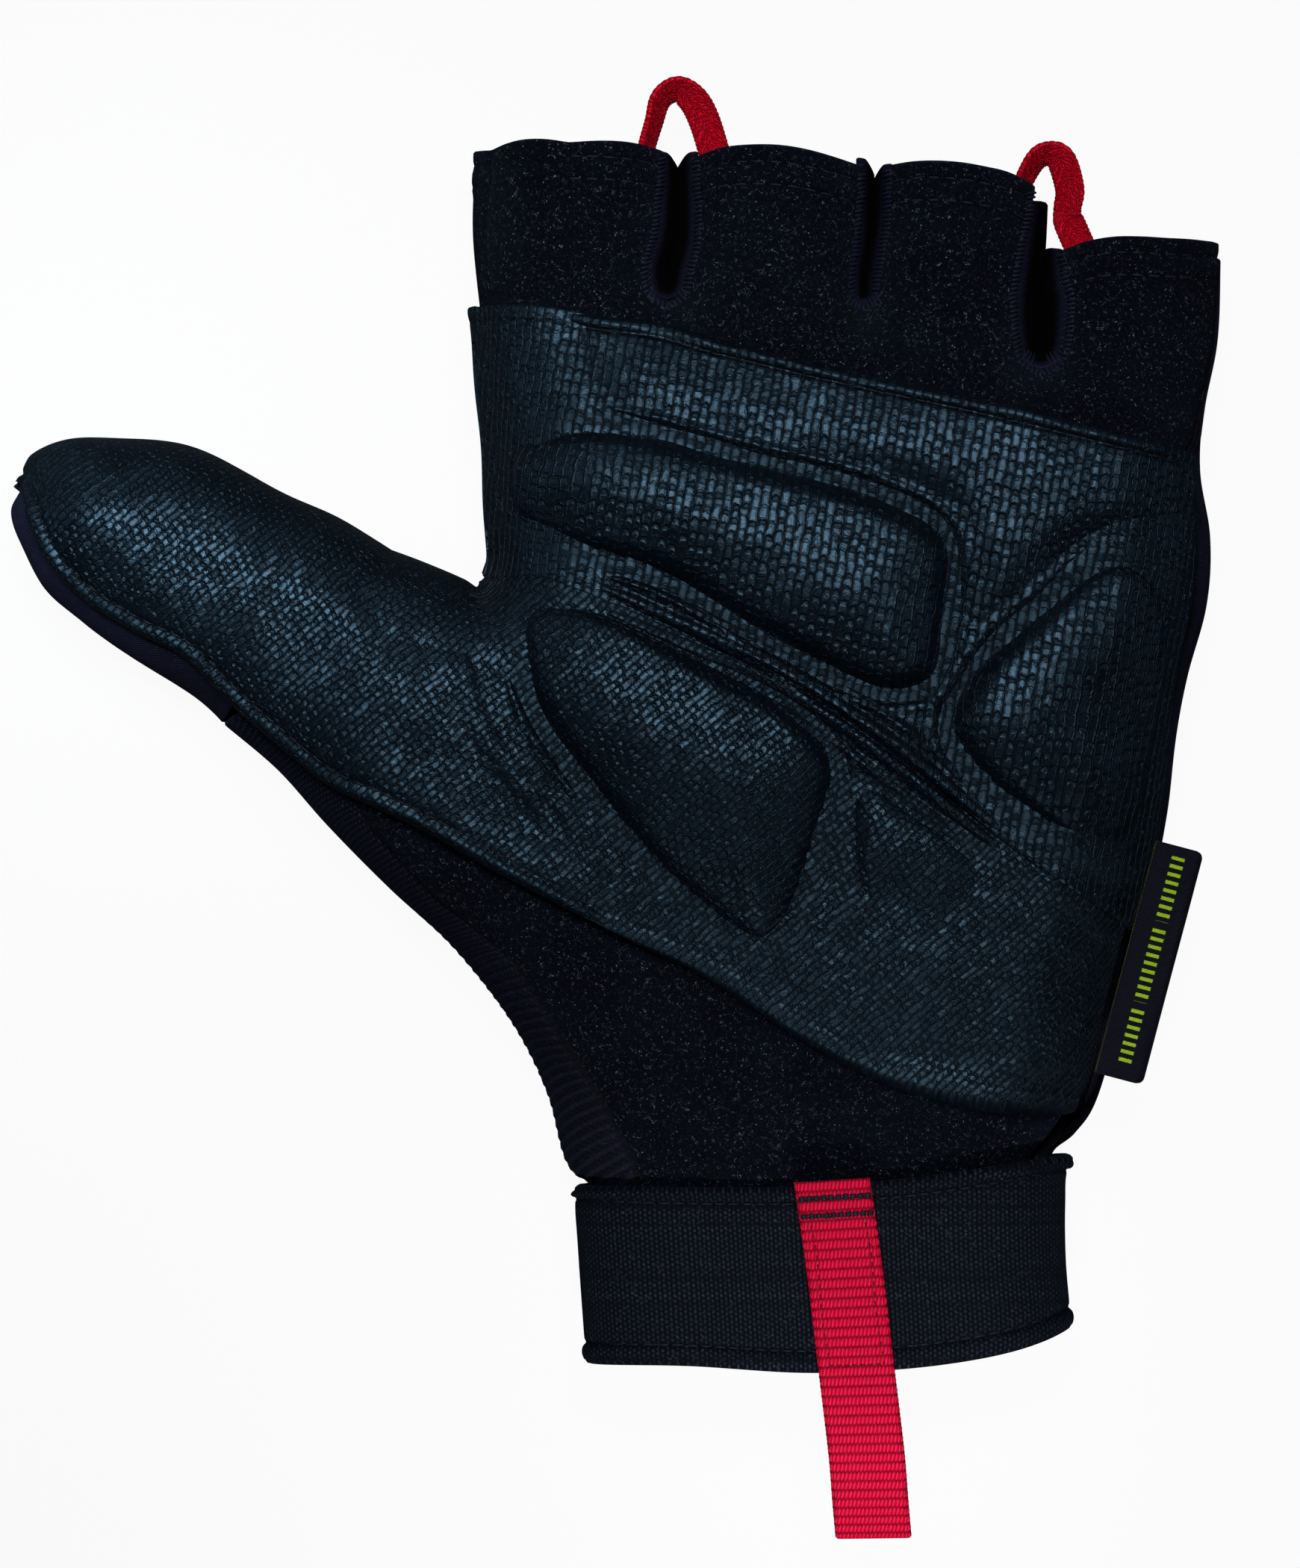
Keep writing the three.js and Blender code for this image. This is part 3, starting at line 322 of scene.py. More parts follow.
def cloth_wall(name, points, normals, quads, inner, outer, uv, lift=0, fields=None):
    """A sheet of cloth with its real thickness, closed round its rim with a soft rolled edge."""
    count = len(points)
    top = points + normals * (outer + np.broadcast_to(lift, count))[:, None]
    under = points + normals * inner
    a, b, c, d = (points[quads[:, i]] for i in range(4))
    facing = (np.cross(c - a, d - b) * normals[quads[:, 0]]).sum()
    quads = quads if facing > 0 else quads[:, ::-1]
    edges = np.vstack([quads[:, [i, (i + 1) % 4]] for i in range(4)])
    seen = set(map(tuple, edges.tolist()))
    border = np.array([edge for edge in seen if (edge[1], edge[0]) not in seen])
    rim_of = {v: i for i, v in enumerate(sorted(set(border.ravel().tolist())))}
    ids = np.array(list(rim_of))
    outward = np.zeros((len(ids), 3))
    for first, second in border:
        ahead = points[second] - points[first]
        across = np.cross(ahead, normals[first])
        for v in (first, second):
            outward[rim_of[v]] += across / (np.linalg.norm(across) + 1e-9)
    outward /= np.linalg.norm(outward, axis=1, keepdims=True) + 1e-9
    middle, half = (top[ids] + under[ids]) / 2, (top[ids] - under[ids]) / 2
    thick = np.linalg.norm(half, axis=1, keepdims=True)
    positions, source = [top, under], [np.arange(count), np.arange(count)]
    for k in range(1, RIM_STEPS):
        angle = math.pi * k / RIM_STEPS
        positions.append(middle + half * math.cos(angle) + outward * thick * RIM_ROLL * math.sin(angle))
        source.append(ids)
    source = np.concatenate(source)
    rings = [lambda v: v] + [
        (lambda v, k=k: 2 * count + (k - 1) * len(ids) + rim_of[v]) for k in range(1, RIM_STEPS)
    ] + [lambda v: v + count]
    faces = quads.tolist() + (quads[:, ::-1] + count).tolist()
    for first, second in border.tolist():
        for upper, lower in zip(rings, rings[1:]):
            faces.append([upper(second), upper(first), lower(first), lower(second)])
    mapped = {label: np.broadcast_to(values, count)[source] for label, values in (fields or {}).items()}
    return as_object(name, np.vstack(positions), faces, np.asarray(uv)[source], mapped)


# Where the two grip patches and the cuff cover the panels, these lie a little deeper
PATCH_TOP = [(-19.2, 69.8), (-9, 69.2), (6.8, 66.4), (29.5, 61), (52.3, 56), (73.5, 50.8), (80.8, 49)]
THUMB_PATCH_LOW = [(-82, 44.4), (-80.9, 40.6), (-78, 34.6), (-72.8, 29.2), (-66.5, 25.4), (-60, 22.2),
                   (-53.6, 16), (-46.5, 10), (-39.5, 4.2)]
HEEL_PATCH_LOW = [(-33, 1), (-26.2, -2.6), (-15, -9.2), (-2.2, -16), (12, -22.2), (25, -30.4), (38, -37),
                  (51, -40.1), (63.6, -41.5)]
CUFF_TOP = [(-6, -52.3), (12, -52.8), (28, -52.6), (45, -51), (64, -47.4)]
cover_ring = np.array([*THUMB_PATCH_LOW, *HEEL_PATCH_LOW, *PATCH_TOP[::-1], *THUMB_HIGH[::-1],
                       THUMB_PATCH_LOW[0]])
cuff_top = curve_through(CUFF_TOP)


def depth_inside(ring, xy):
    """How far inside a closed outline each point is, and negative outside it."""
    distance = nearest_on(ring, xy)[0]
    inside = np.zeros(len(xy), bool)
    for (ax, ay), (bx, by) in zip(ring[:-1], ring[1:]):
        crosses = (ay > xy[:, 1]) != (by > xy[:, 1])
        with np.errstate(divide="ignore", invalid="ignore"):
            inside ^= crosses & (xy[:, 0] < ax + (bx - ax) * (xy[:, 1] - ay) / (by - ay))
    return np.where(inside, distance, -distance)


def tucked(points, normals):
    xy = points[:, :2]
    under_patch = np.where(normals[:, 2] > 0, smooth((depth_inside(cover_ring, xy) + 3) / 3), 0)
    under_cuff = smooth((np.interp(xy[:, 0], cuff_top[:, 0], cuff_top[:, 1]) + 2 - xy[:, 1]) / 2.5)
    return points - normals * (UNDERLAP * np.maximum(under_patch, under_cuff))[:, None]


SEAM_ANGLE = 3.4
SEAM_STEP = 0.45
CLIMB_START = 35.6
INDEX_START = 70.0
LITTLE_START = 62.0
SLOT_HALF = 0.65
HAND_ROWS = 118
STUB_ROWS = 36
ROUND_STEPS = 12
STUB_COLUMNS = (32, 26, 26, 26)
HEM_DEPTH = 5.7
SLUMPS = (("index", 12, 25), ("little", 15, 30))
HEEL_SLUMP = 5.5
HEM_STITCHES = (1.9, 5.0)
SIDE_TURN = 28.0
FINGER_SIDE_TURN = 9.0
index_edge = high_side.line[(len(THUMB_HIGH) + 1) * CURVE_STEPS:]


def x_on(line, y):
    order = np.argsort(line[:, 1], kind="stable")
    return np.interp(y, line[order, 1], line[order, 0])


def hem_height(f, share):
    curve = curve_through(list(enumerate(HEMS[f])))
    return np.interp(share * (len(HEMS[f]) - 1), curve[:, 0], curve[:, 1])


def crown(f, share):
    """How far a finger's hem rises above the line between its corners."""
    return hem_height(f, share) - mix(HEMS[f][0], HEMS[f][-1], share)


class HandCut:
    """The comb-shaped cut of the palm or the back: where its slots and its right edge run on that side."""

    def __init__(self, sheet):
        moved = [side.moved_in(sheet, slot_turn(slot, len(side.line)) + SEAM_ANGLE)
                 for side, slot in zip(slot_sides, SLOTS)]
        half = len(moved[0]) // 2
        self.left_of = [line[:half + 1] for line in moved]
        self.right_of = [line[half:] for line in moved]
        self.right_edge = little_side.moved_in(sheet, side_turn(little_side.line[:, 1]) + SEAM_ANGLE)

    def start(self, f):
        return INDEX_START if f < 0 else LITTLE_START if f > 2 else SLOTS[f]["line"][4][1] + SLOT_HALF

    def sides(self, f, left_y, right_y):
        left = x_on(index_edge, left_y) if f == 0 else x_on(self.right_of[f - 1], left_y)
        right = x_on(self.right_edge, right_y) if f == 3 else x_on(self.left_of[f], right_y)
        return left, right

    def stub_points(self, f, v, share):
        left_y = mix(self.start(f - 1), HEMS[f][0], v)
        right_y = mix(self.start(f), HEMS[f][-1], v)
        left, right = self.sides(f, left_y, right_y)
        y = mix(left_y, right_y, share) + v * v * crown(f, share)
        return np.column_stack([mix(left, right, share), y])


def hand_sheet(sheet, left_edge):
    """Plan points, quads and depth below the hem of the comb-shaped cut."""
    cut = HandCut(sheet)
    row, columns_of = [], []
    for f in range(4):
        shares = (1 - np.cos(np.linspace(0, math.pi, STUB_COLUMNS[f] + 1))) / 2
        shares = mix(np.linspace(0, 1, len(shares)), shares, 0.55)
        columns_of.append((len(row), shares))
        row.extend(cut.stub_points(f, 0.0, shares).tolist())
        if f < 3:
            y = cut.start(f)
            right = row[-1][0]
            following = cut.sides(f + 1, y, y)[0]
            centre, radius = (right + following) / 2, (following - right) / 2
            for angle in math.pi + math.pi * np.arange(1, ROUND_STEPS) / ROUND_STEPS:
                row.append([centre + radius * math.cos(angle), y + radius * math.sin(angle)])
    row = np.array(row)
    left = evenly(np.vstack([left_edge, row[:1]]), 0.01)[0]
    left = at_share(left, np.linspace(0, 1, HAND_ROWS + 1))
    v = ((left[:, 1] - left[0, 1]) / (row[0, 1] - left[0, 1]))[:, None, None]
    right_y = mix(WRIST_END, row[-1, 1], v[:, 0, 0])
    right = np.column_stack([x_on(cut.right_edge, right_y), right_y])[:, None]
    u = ((row[:, 0] - row[0, 0]) / (row[-1, 0] - row[0, 0]))[None, :, None]
    bottom_right = np.array([x_on(cut.right_edge, WRIST_END), WRIST_END])
    bottom = mix(left[0], bottom_right, u)
    across = mix(left[:, None], right, u)
    plan = across + mix(bottom, row[None], v) - mix(bottom, mix(row[0], row[-1], u), v)
    plan[-1] = row
    columns = len(row)
    xy, depth = [plan.reshape(-1, 2)], [np.full(plan.shape[0] * columns, 99.0)]
    quads = [grid_quads(HAND_ROWS, columns - 1)]
    last_row = HAND_ROWS * columns
    count = (HAND_ROWS + 1) * columns
    for f, (first, shares) in enumerate(columns_of):
        previous = last_row + first + np.arange(len(shares))
        for v in np.linspace(0, 1, STUB_ROWS + 1)[1:]:
            points = cut.stub_points(f, v, shares)
            xy.append(points)
            depth.append(hem_height(f, shares) - points[:, 1])
            current = count + np.arange(len(shares))
            count += len(shares)
            quads.append(np.stack([previous[:-1], current[:-1], current[1:], previous[1:]], 1))
            previous = current
    return np.vstack(xy), np.vstack(quads), np.concatenate(depth)


def slump(xy):
    """The stuffing is slack: the palm is rounder towards its two sides, and falls to the heel."""
    sides = {"index": index_edge, "little": little_side.line}
    total = np.zeros(len(xy))
    for side, reach, wider in SLUMPS:
        distance = nearest_on(sides[side], xy)[0]
        full, fuller = (np.sqrt(1 - (1 - np.minimum(distance / r, 1))**2) for r in (reach, wider))
        ends = smooth((xy[:, 1] - 12) / 18) if side == "index" else mix(0.3, 1, smooth((46 - xy[:, 1]) / 18))
        total += PALM_BODY[1] * (fuller - full) * ends
    heel = smooth((14 - xy[:, 1]) / 58) * smooth((xy[:, 1] + 50) / 9)
    return total - HEEL_SLUMP * heel * smooth((nearest_on(low_side.line, xy)[0] - 9) / 16)


def hem_lift(depth):
    """The folded hem of a finger stub is two cloths thick, and pulled down along its two rows of stitches."""
    fold = 0.35 * smooth((HEM_DEPTH + 0.5 - depth) / 0.9)
    return fold - sum(0.22 * np.exp(-((depth - row) / 0.55)**2) for row in HEM_STITCHES)


def seam_field(depth):
    return np.min([np.abs(depth - row) for row in HEM_STITCHES], axis=0)


def palm_rise(xy, depth):
    """How far the suede stands off the stuffed shape, at plan points and their depth below the hem."""
    return np.where(np.asarray(depth) < 30, hem_lift(depth), 0) + ripple(xy, 22, 0.22, 3) + slump(xy)


palm_climb = [(x_on(index_edge, y), y) for y in np.arange(CLIMB_START, INDEX_START - 1, 2.5)]
palm_edge = [*[(x + SEAM_STEP, y) for x, y in GUSSET_PALM[:0:-1]], (-31, 13.5), (-25, 20), (-20.2, 25),
             (-16.6, 28.8), *palm_climb]
palm_xy, palm_quads, palm_depth = hand_sheet(1, np.array(palm_edge, float))
palm_points, palm_normals, palm_flat = skin(palm_xy, 1)
palm_lift = palm_rise(palm_xy, palm_depth)
palm_panel = cloth_wall("palm_suede", tucked(palm_points, palm_normals), palm_normals, palm_quads, -CLOTH, 0,
                        palm_flat, palm_lift, {"seam": seam_field(palm_depth)})
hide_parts("palm_panel")
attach(palm_panel, "root")


class Value:
    """A number that changes over a surface, so that a weave can be written as arithmetic."""

    def __init__(self, tree, socket):
        self.tree, self.socket = tree, socket

    def math(self, operation, *others):
        node = self.tree.nodes.new("ShaderNodeMath")
        node.operation = operation
        for slot, value in zip(node.inputs, (self, *others)):
            join(self.tree, value, slot)
        return Value(self.tree, node.outputs[0])

    def __add__(self, other):
        return self.math("ADD", other)

    def __sub__(self, other):
        return self.math("SUBTRACT", other)

    def __mul__(self, other):
        return self.math("MULTIPLY", other)

    def __truediv__(self, other):
        return self.math("DIVIDE", other)

    def __abs__(self):
        return self.math("ABSOLUTE")

    def power(self, other):
        return self.math("POWER", other)

    def fold(self):
        """Up from 0 to a half and down again between whole numbers."""
        return self.math("FRACT").math("PINGPONG", 0.5)

    def minus_from(self, whole):
        return self.math("MULTIPLY_ADD", -1.0, whole)

    def between(self, low, high):
        """0 at low, 1 at high and smooth between."""
        node = self.tree.nodes.new("ShaderNodeMapRange")
        node.interpolation_type = "SMOOTHSTEP"
        for name, value in (("Value", self), ("From Min", low), ("From Max", high)):
            join(self.tree, value, node.inputs[name])
        return Value(self.tree, node.outputs["Result"])


def join(tree, value, slot):
    if isinstance(value, Value):
        value = value.socket
    if isinstance(value, bpy.types.NodeSocket):
        tree.links.new(value, slot)
    else:
        slot.default_value = value


def node(tree, kind, inputs=None, **settings):
    made = tree.nodes.new(kind)
    for name, value in settings.items():
        setattr(made, name, value)
    for name, value in (inputs or {}).items():
        join(tree, value, made.inputs[name])
    return made


def vector(tree, x=0.0, y=0.0, z=0.0):
    return node(tree, "ShaderNodeCombineXYZ", {"X": x, "Y": y, "Z": z}).outputs[0]


def parts_of(tree, socket):
    split = node(tree, "ShaderNodeSeparateXYZ", {0: socket})
    return [Value(tree, output) for output in split.outputs]


def noise(tree, place, per_mm, detail=2.0, roughness=0.5, distortion=0.0):
    made = node(tree, "ShaderNodeTexNoise", {"Vector": place, "Scale": per_mm, "Detail": detail,
                                             "Roughness": roughness, "Distortion": distortion})
    return Value(tree, made.outputs["Fac"])


def colours(tree, share, low, high):
    made = node(tree, "ShaderNodeMix", data_type="RGBA")
    join(tree, share, made.inputs["Factor"])
    join(tree, low if hasattr(low, "name") else (*low, 1), made.inputs[6])
    join(tree, high if hasattr(high, "name") else (*high, 1), made.inputs[7])
    return made.outputs[2]


def start_group(name, inputs, outputs):
    """A shader group with named inputs, each with its default, and named outputs."""
    tree = bpy.data.node_groups.new(name, "ShaderNodeTree")
    for label, default in inputs:
        kind = "NodeSocketVector" if default is None else "NodeSocketFloat"
        socket = tree.interface.new_socket(label, in_out="INPUT", socket_type=kind)
        if default is not None:
            socket.default_value = default
    for label in outputs:
        tree.interface.new_socket(label, in_out="OUTPUT", socket_type="NodeSocketFloat")
    given, result = tree.nodes.new("NodeGroupInput"), tree.nodes.new("NodeGroupOutput")
    return tree, given.outputs, result.inputs


def place_group(tree, group, **inputs):
    made = tree.nodes.new("ShaderNodeGroup")
    made.node_tree = group
    for label, value in inputs.items():
        join(tree, value, made.inputs[label.replace("_", " ")])
    return {output.name: Value(tree, output) for output in made.outputs}


def lint_group():
    """Tiny pale specks and short thin hairs that lie on dark cloth."""
    tree, given, result = start_group("Lint", [("Place", None), ("Speck Size", 0.09), ("Spacing", 1.1)],
                                      ["Lint"])
    per_mm = Value(tree, given["Spacing"]).power(-1.0)
    cells = node(tree, "ShaderNodeTexVoronoi", {"Vector": given["Place"], "Scale": per_mm})
    away = Value(tree, cells.outputs["Distance"]) * given["Spacing"]
    luck = parts_of(tree, cells.outputs["Color"])[0]
    size = Value(tree, given["Speck Size"]) * (luck * 0.7 + 0.5)
    specks = (away / size).between(1.0, 0.5) * luck.between(0.3, 0.9)
    hairs = 0.0
    for turn in (0.0, 37.0):
        moved = node(tree, "ShaderNodeVectorMath", {0: given["Place"], 1: (turn, turn * 0.7, 0)},
                     operation="ADD").outputs[0]
        curls = abs(noise(tree, moved, 0.8, 1.0, 0.5, 2.0) - 0.5).between(0.01, 0.004)
        pieces = noise(tree, moved, 1.6, 0.0).between(0.62, 0.67)
        hairs = (curls * pieces * 0.6).math("MAXIMUM", hairs)
    join(tree, specks.math("MAXIMUM", hairs), result["Lint"])
    return tree


def stitched_group():
    """Where a seam pulls cloth down: a soft dip along the distance held in the seam field. The materials use
    it for the bump and for painted shade that darkens the groove.
    """
    tree, given, result = start_group("Stitched dip", [("Seam", 0.0), ("Width", 0.5)], ["Dip"])
    share = Value(tree, given["Seam"]) / given["Width"]
    join(tree, (share * share * -1.0).math("EXPONENT"), result["Dip"])
    return tree


lint_on_cloth = lint_group()
stitched_dip = stitched_group()


def start_material(name, roughness, **shader):
    """A material with its shader's plain values set on the shader itself."""
    material = bpy.data.materials.new(name)
    material.use_nodes = True
    tree = material.node_tree
    bsdf = tree.nodes["Principled BSDF"]
    bsdf.inputs["Roughness"].default_value = roughness
    for label, value in shader.items():
        bsdf.inputs[label.replace("_", " ")].default_value = value
    place = node(tree, "ShaderNodeTexCoord").outputs["Object"]
    place = node(tree, "ShaderNodeVectorMath", {0: place, 1: (1000.0,) * 3}, operation="MULTIPLY").outputs[0]
    cloth = node(tree, "ShaderNodeUVMap", uv_map="cloth").outputs[0]
    return material, tree, bsdf, place, cloth


def field(tree, label):
    return Value(tree, node(tree, "ShaderNodeAttribute", attribute_name=label).outputs["Fac"])


def bump(tree, height, depth_mm, into=None):
    inputs = {"Height": height, "Distance": depth_mm * MM, "Strength": 1.0}
    if into is not None:
        inputs["Normal"] = into
    return node(tree, "ShaderNodeBump", inputs).outputs[0]


def suede():
    material, tree, bsdf, place, _ = start_material(
        "dark suede", 0.95, Specular_IOR_Level=0.06, Sheen_Weight=0.02, Sheen_Roughness=0.45,
        Sheen_Tint=(0.4, 0.6, 1, 1))
    nap = noise(tree, place, 2.6, 4.0, 0.75)
    brushed = noise(tree, place, 0.12, 2.0, 0.55)
    lint = place_group(tree, lint_on_cloth, Place=place, Speck_Size=0.085, Spacing=0.72)["Lint"]
    dip = place_group(tree, stitched_dip, Seam=field(tree, "seam"), Width=0.35)["Dip"]
    ground = colours(tree, brushed.between(0.35, 0.65), (0.0007, 0.0012, 0.0032), (0.0013, 0.0023, 0.0056))
    ground = colours(tree, nap.between(0.48, 0.72) * 0.6, ground, (0.0125, 0.0165, 0.0275))
    # Painted shade: the suede is darker in the grooves that the hem stitches pull down.
    ground = colours(tree, dip * 0.75, ground, (0.0006, 0.0008, 0.0016))
    join(tree, colours(tree, lint * 0.8, ground, (0.28, 0.32, 0.4)), bsdf.inputs["Base Color"])
    fluff = bump(tree, nap, 0.3)
    join(tree, bump(tree, dip * -1.0, 0.12, fluff), bsdf.inputs["Normal"])
    return material


palm_panel.data.materials.append(suede())


# The black thread
# Every seam that shows is a row of short stitches of one dark polyester thread. Each stitch comes up out of
# the cloth, lies on it and goes down again, so it is a bent sliver with round ends.
STITCH_SECTIONS = ((0, 0.35, -0.35), (0.14, 0.85, -0.02), (0.5, 1.0, 0.12), (0.86, 0.85, -0.02),
                   (1, 0.35, -0.35))
STITCH_SIDES = 6
SIDE_MARGIN = 2.2


def stitches(name, starts, ends, ups, radius):
    """One mesh of stitches from their end points and the way out of the cloth at each, in millimetres."""
    starts, ends, ups = (np.asarray(a, float) for a in (starts, ends, ups))
    ahead = ends - starts
    length = np.linalg.norm(ahead, axis=1, keepdims=True)
    keep = length[:, 0] > 1e-6
    starts, ends, ups, ahead, length = starts[keep], ends[keep], ups[keep], ahead[keep], length[keep]
    side = unit(np.cross(ahead / length, ups))
    rings = []
    for share, fat, rise in STITCH_SECTIONS:
        centre = mix(starts, ends, share) + ups * rise * radius * 2
        for k in range(STITCH_SIDES):
            angle = math.tau * k / STITCH_SIDES
            rings.append(centre + (side * math.cos(angle) + ups * math.sin(angle)) * radius * fat)
    count = len(starts)
    positions = np.stack(rings, 1).reshape(-1, 3)
    per = len(STITCH_SECTIONS) * STITCH_SIDES
    one = []
    for s in range(len(STITCH_SECTIONS) - 1):
        for k in range(STITCH_SIDES):
            a, b = s * STITCH_SIDES + k, s * STITCH_SIDES + (k + 1) % STITCH_SIDES
            one.append((b, a, a + STITCH_SIDES, b + STITCH_SIDES))
    caps = [tuple(range(STITCH_SIDES)), tuple(range(per - 1, per - 1 - STITCH_SIDES, -1))]
    faces = [tuple(v + per * i for v in face) for i in range(count) for face in (*one, *caps)]
    return as_object(name, positions, faces)


def over_the_hand(xy):
    """Whether plan points are well inside the index side and the little-finger side."""
    left = np.where(xy[:, 1] > INDEX_SIDE[1][1], x_on(index_edge, xy[:, 1]) + SIDE_MARGIN, -99)
    return (xy[:, 0] > left) & (xy[:, 0] < x_on(little_side.line, xy[:, 1]) - SIDE_MARGIN)


def stitch_row(line, surface, pitch, share):
    """Stitch ends and ups along a plan line over a surface that gives points and normals."""
    places, _ = evenly(np.asarray(line, float), pitch)
    ends = mix(places[:-1], places[1:], share)
    shown = over_the_hand(places[:-1]) & over_the_hand(ends)
    places, ends = np.vstack([places[:-1][shown], places[-1:]]), ends[shown]
    low, up = surface(places[:-1])
    high, _ = surface(ends)
    return low, high, up


def thread(name, colour, shine):
    material, tree, bsdf, place, _ = start_material(
        name, 0.55, Specular_IOR_Level=shine, Specular_Tint=(0.6, 0.8, 1, 1))
    twist = noise(tree, place, 4.0, 1.0)
    join(tree, colours(tree, twist, colour, tuple(c * 2.2 for c in colour)), bsdf.inputs["Base Color"])
    return material


def sew(name, rows, material, radius):
    starts, ends, ups = (np.vstack(part) for part in zip(*rows))
    piece = stitches(name, starts, ends, ups, radius)
    piece.data.materials.append(material)
    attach(piece, "root")
    return piece


black_thread = thread("black thread", (0.0035, 0.004, 0.007), 0.3)


def palm_surface(xy, depth=99.0):
    points, normals, _ = skin(xy, 1)
    return points + normals * (0.04 + palm_rise(xy, depth))[:, None], normals


hem_rows = []
front_cut = HandCut(1)
for f in range(4):
    for depth in HEM_STITCHES:
        share = np.linspace(0.04, 0.96, 40)
        points = front_cut.stub_points(f, 1.0, share) - (0, depth)
        hem_rows.append(stitch_row(points, lambda xy: palm_surface(xy, depth), 2.3, 0.7))
sew("hem_stitches", hem_rows, black_thread, 0.14)


# The back of the hand
# One piece of navy twill behind the hand and the four finger stubs, cut like the palm and hemmed like it.
# The glove rests on it, so it is flat underneath.
def twill_group():
    """Fine diagonal wales of a twill, with the slubs of its yarns. The second output is the bare ridge, which
    the materials use as painted shade: lighter on the wale tops, darker in the grooves.
    """
    tree, given, result = start_group(
        "Twill", [("Cloth", None), ("Wale", 0.6), ("Lean", 1.0), ("Slub", 0.3)], ["Height", "Wale shade"])
    u, v, _ = parts_of(tree, given["Cloth"])
    wander = noise(tree, given["Cloth"], 1.4, 2.0) * given["Slub"]
    across = (u + v * given["Lean"]) / given["Wale"] + wander
    ridge = across.fold() * 2.0
    crossing = (u - v * given["Lean"]) / given["Wale"] * 1.7
    yarn = crossing.fold() * 2.0
    join(tree, ridge * (yarn * 0.35 + 0.65), result["Height"])
    join(tree, ridge, result["Wale shade"])
    return tree


twill_weave = twill_group()


def twill(name, dark, light, wale, shine):
    material, tree, bsdf, place, cloth = start_material(
        name, 0.6, Specular_IOR_Level=shine, Sheen_Weight=0.02, Sheen_Roughness=0.4,
        Sheen_Tint=(0.4, 0.45, 1, 1))
    weave = place_group(tree, twill_weave, Cloth=cloth, Wale=wale, Lean=1.15, Slub=0.35)
    lint = place_group(tree, lint_on_cloth, Place=place, Speck_Size=0.07, Spacing=1.6)["Lint"]
    dip = place_group(tree, stitched_dip, Seam=field(tree, "seam"), Width=0.5)["Dip"]
    worn = noise(tree, place, 0.1, 2.0)
    # Painted shade: the twill is lighter on its wale tops than in the grooves between them, and darker in the
    # seam grooves.
    ground = colours(tree, weave["Wale shade"] * worn.between(0.2, 0.75), dark, light)
    ground = colours(tree, dip * 0.8, ground, tuple(c * 0.25 for c in dark))
    join(tree, colours(tree, lint * 0.35, ground, (0.2, 0.22, 0.32)), bsdf.inputs["Base Color"])
    join(tree, worn * 0.2 + 0.6, bsdf.inputs["Roughness"])
    join(tree, bump(tree, weave["Height"], 0.1), bsdf.inputs["Normal"])
    return material


navy_twill = twill("navy twill", (0.0015, 0.0015, 0.0045), (0.0085, 0.0085, 0.026), 0.62, 0.12)
back_edge = [*[(x + SEAM_STEP, y - 0.1) for x, y in GUSSET_BACK[::-1]], (-35.5, 21.0), (-27, 24.9),
             (-19.2, 28.0), *palm_climb]
back_xy, back_quads, back_depth = hand_sheet(-1, np.array(back_edge, float))
back_points, back_normals, back_flat = skin(back_xy, -1)
back_lift = np.where(back_depth < 30, hem_lift(back_depth) - 0.35, 0)
back_panel = cloth_wall("back_cloth", tucked(back_points, back_normals), back_normals, back_quads, -CLOTH, 0,
                        back_flat, np.minimum(back_lift, 0), {"seam": seam_field(back_depth)})
back_panel.data.materials.append(navy_twill)
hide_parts("back_panel")
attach(back_panel, "root")


# The back of the thumb
# Navy twill from the seam on the palm side, round the lower edge of the thumb, to its upper edge. It is
# gathered a little where the grip patch is sewn to it.
THUMB_ROWS = 84
SEAM_TURN = 12
UNDER_TURN = 24
TIP_START = 0.3


def thumb_back_sheet():
    seam = np.array([TIP, *THUMB_SEAM], float)
    share = mix(TIP_START, len(THUMB_SEAM), np.linspace(0, 1, THUMB_ROWS + 1))
    low = at_share(low_side.line, share / low_side.spans)
    high = at_share(high_side.line, share / high_side.spans)
    start = at_share(seam, share / (len(seam) - 1))
    points, normals = [], []
    for j in range(SEAM_TURN + UNDER_TURN + 1):
        if j < SEAM_TURN:
            xy, sheet = mix(start, low, math.sin(math.pi / 2 * j / SEAM_TURN)), 1
        elif j == SEAM_TURN:
            xy, sheet = low, 0
        else:
            xy, sheet = mix(low, high, (1 - math.cos(math.pi * (j - SEAM_TURN) / UNDER_TURN)) / 2), -1
        point, normal, _ = skin(xy, sheet)
        points.append(point)
        normals.append(normal)
    points, normals = np.stack(points, 1), np.stack(normals, 1)
    round_run = run_across(points)
    uv = np.stack([np.broadcast_to(run_along(start)[:, None], round_run.shape), round_run], -1)
    return points, normals, uv, round_run


thumb_points, thumb_normals, thumb_uv, thumb_run = thumb_back_sheet()
gathers = 0.22 * np.sin(thumb_uv[..., 0] * math.tau / 3.1) * np.exp(-thumb_run / 2.5)
gathers -= 0.5 * np.exp(-(thumb_run / 0.8)**2)
thumb_lift = (gathers + 0.25 * np.sin(thumb_uv[..., 0] / 4 + thumb_run / 5) * smooth(thumb_run / 6)).ravel()
thumb_back = cloth_wall("thumb_twill", thumb_points.reshape(-1, 3), thumb_normals.reshape(-1, 3),
                        grid_quads(THUMB_ROWS, SEAM_TURN + UNDER_TURN), -CLOTH, 0, thumb_uv.reshape(-1, 2),
                        np.minimum(thumb_lift, 0.3), {"seam": thumb_run.ravel()})
thumb_twill = twill("thumb twill", (0.0025, 0.0025, 0.009), (0.0145, 0.0145, 0.046), 0.5, 0.15)
thumb_back.data.materials.append(thumb_twill)
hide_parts("thumb_back")
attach(thumb_back, "root")


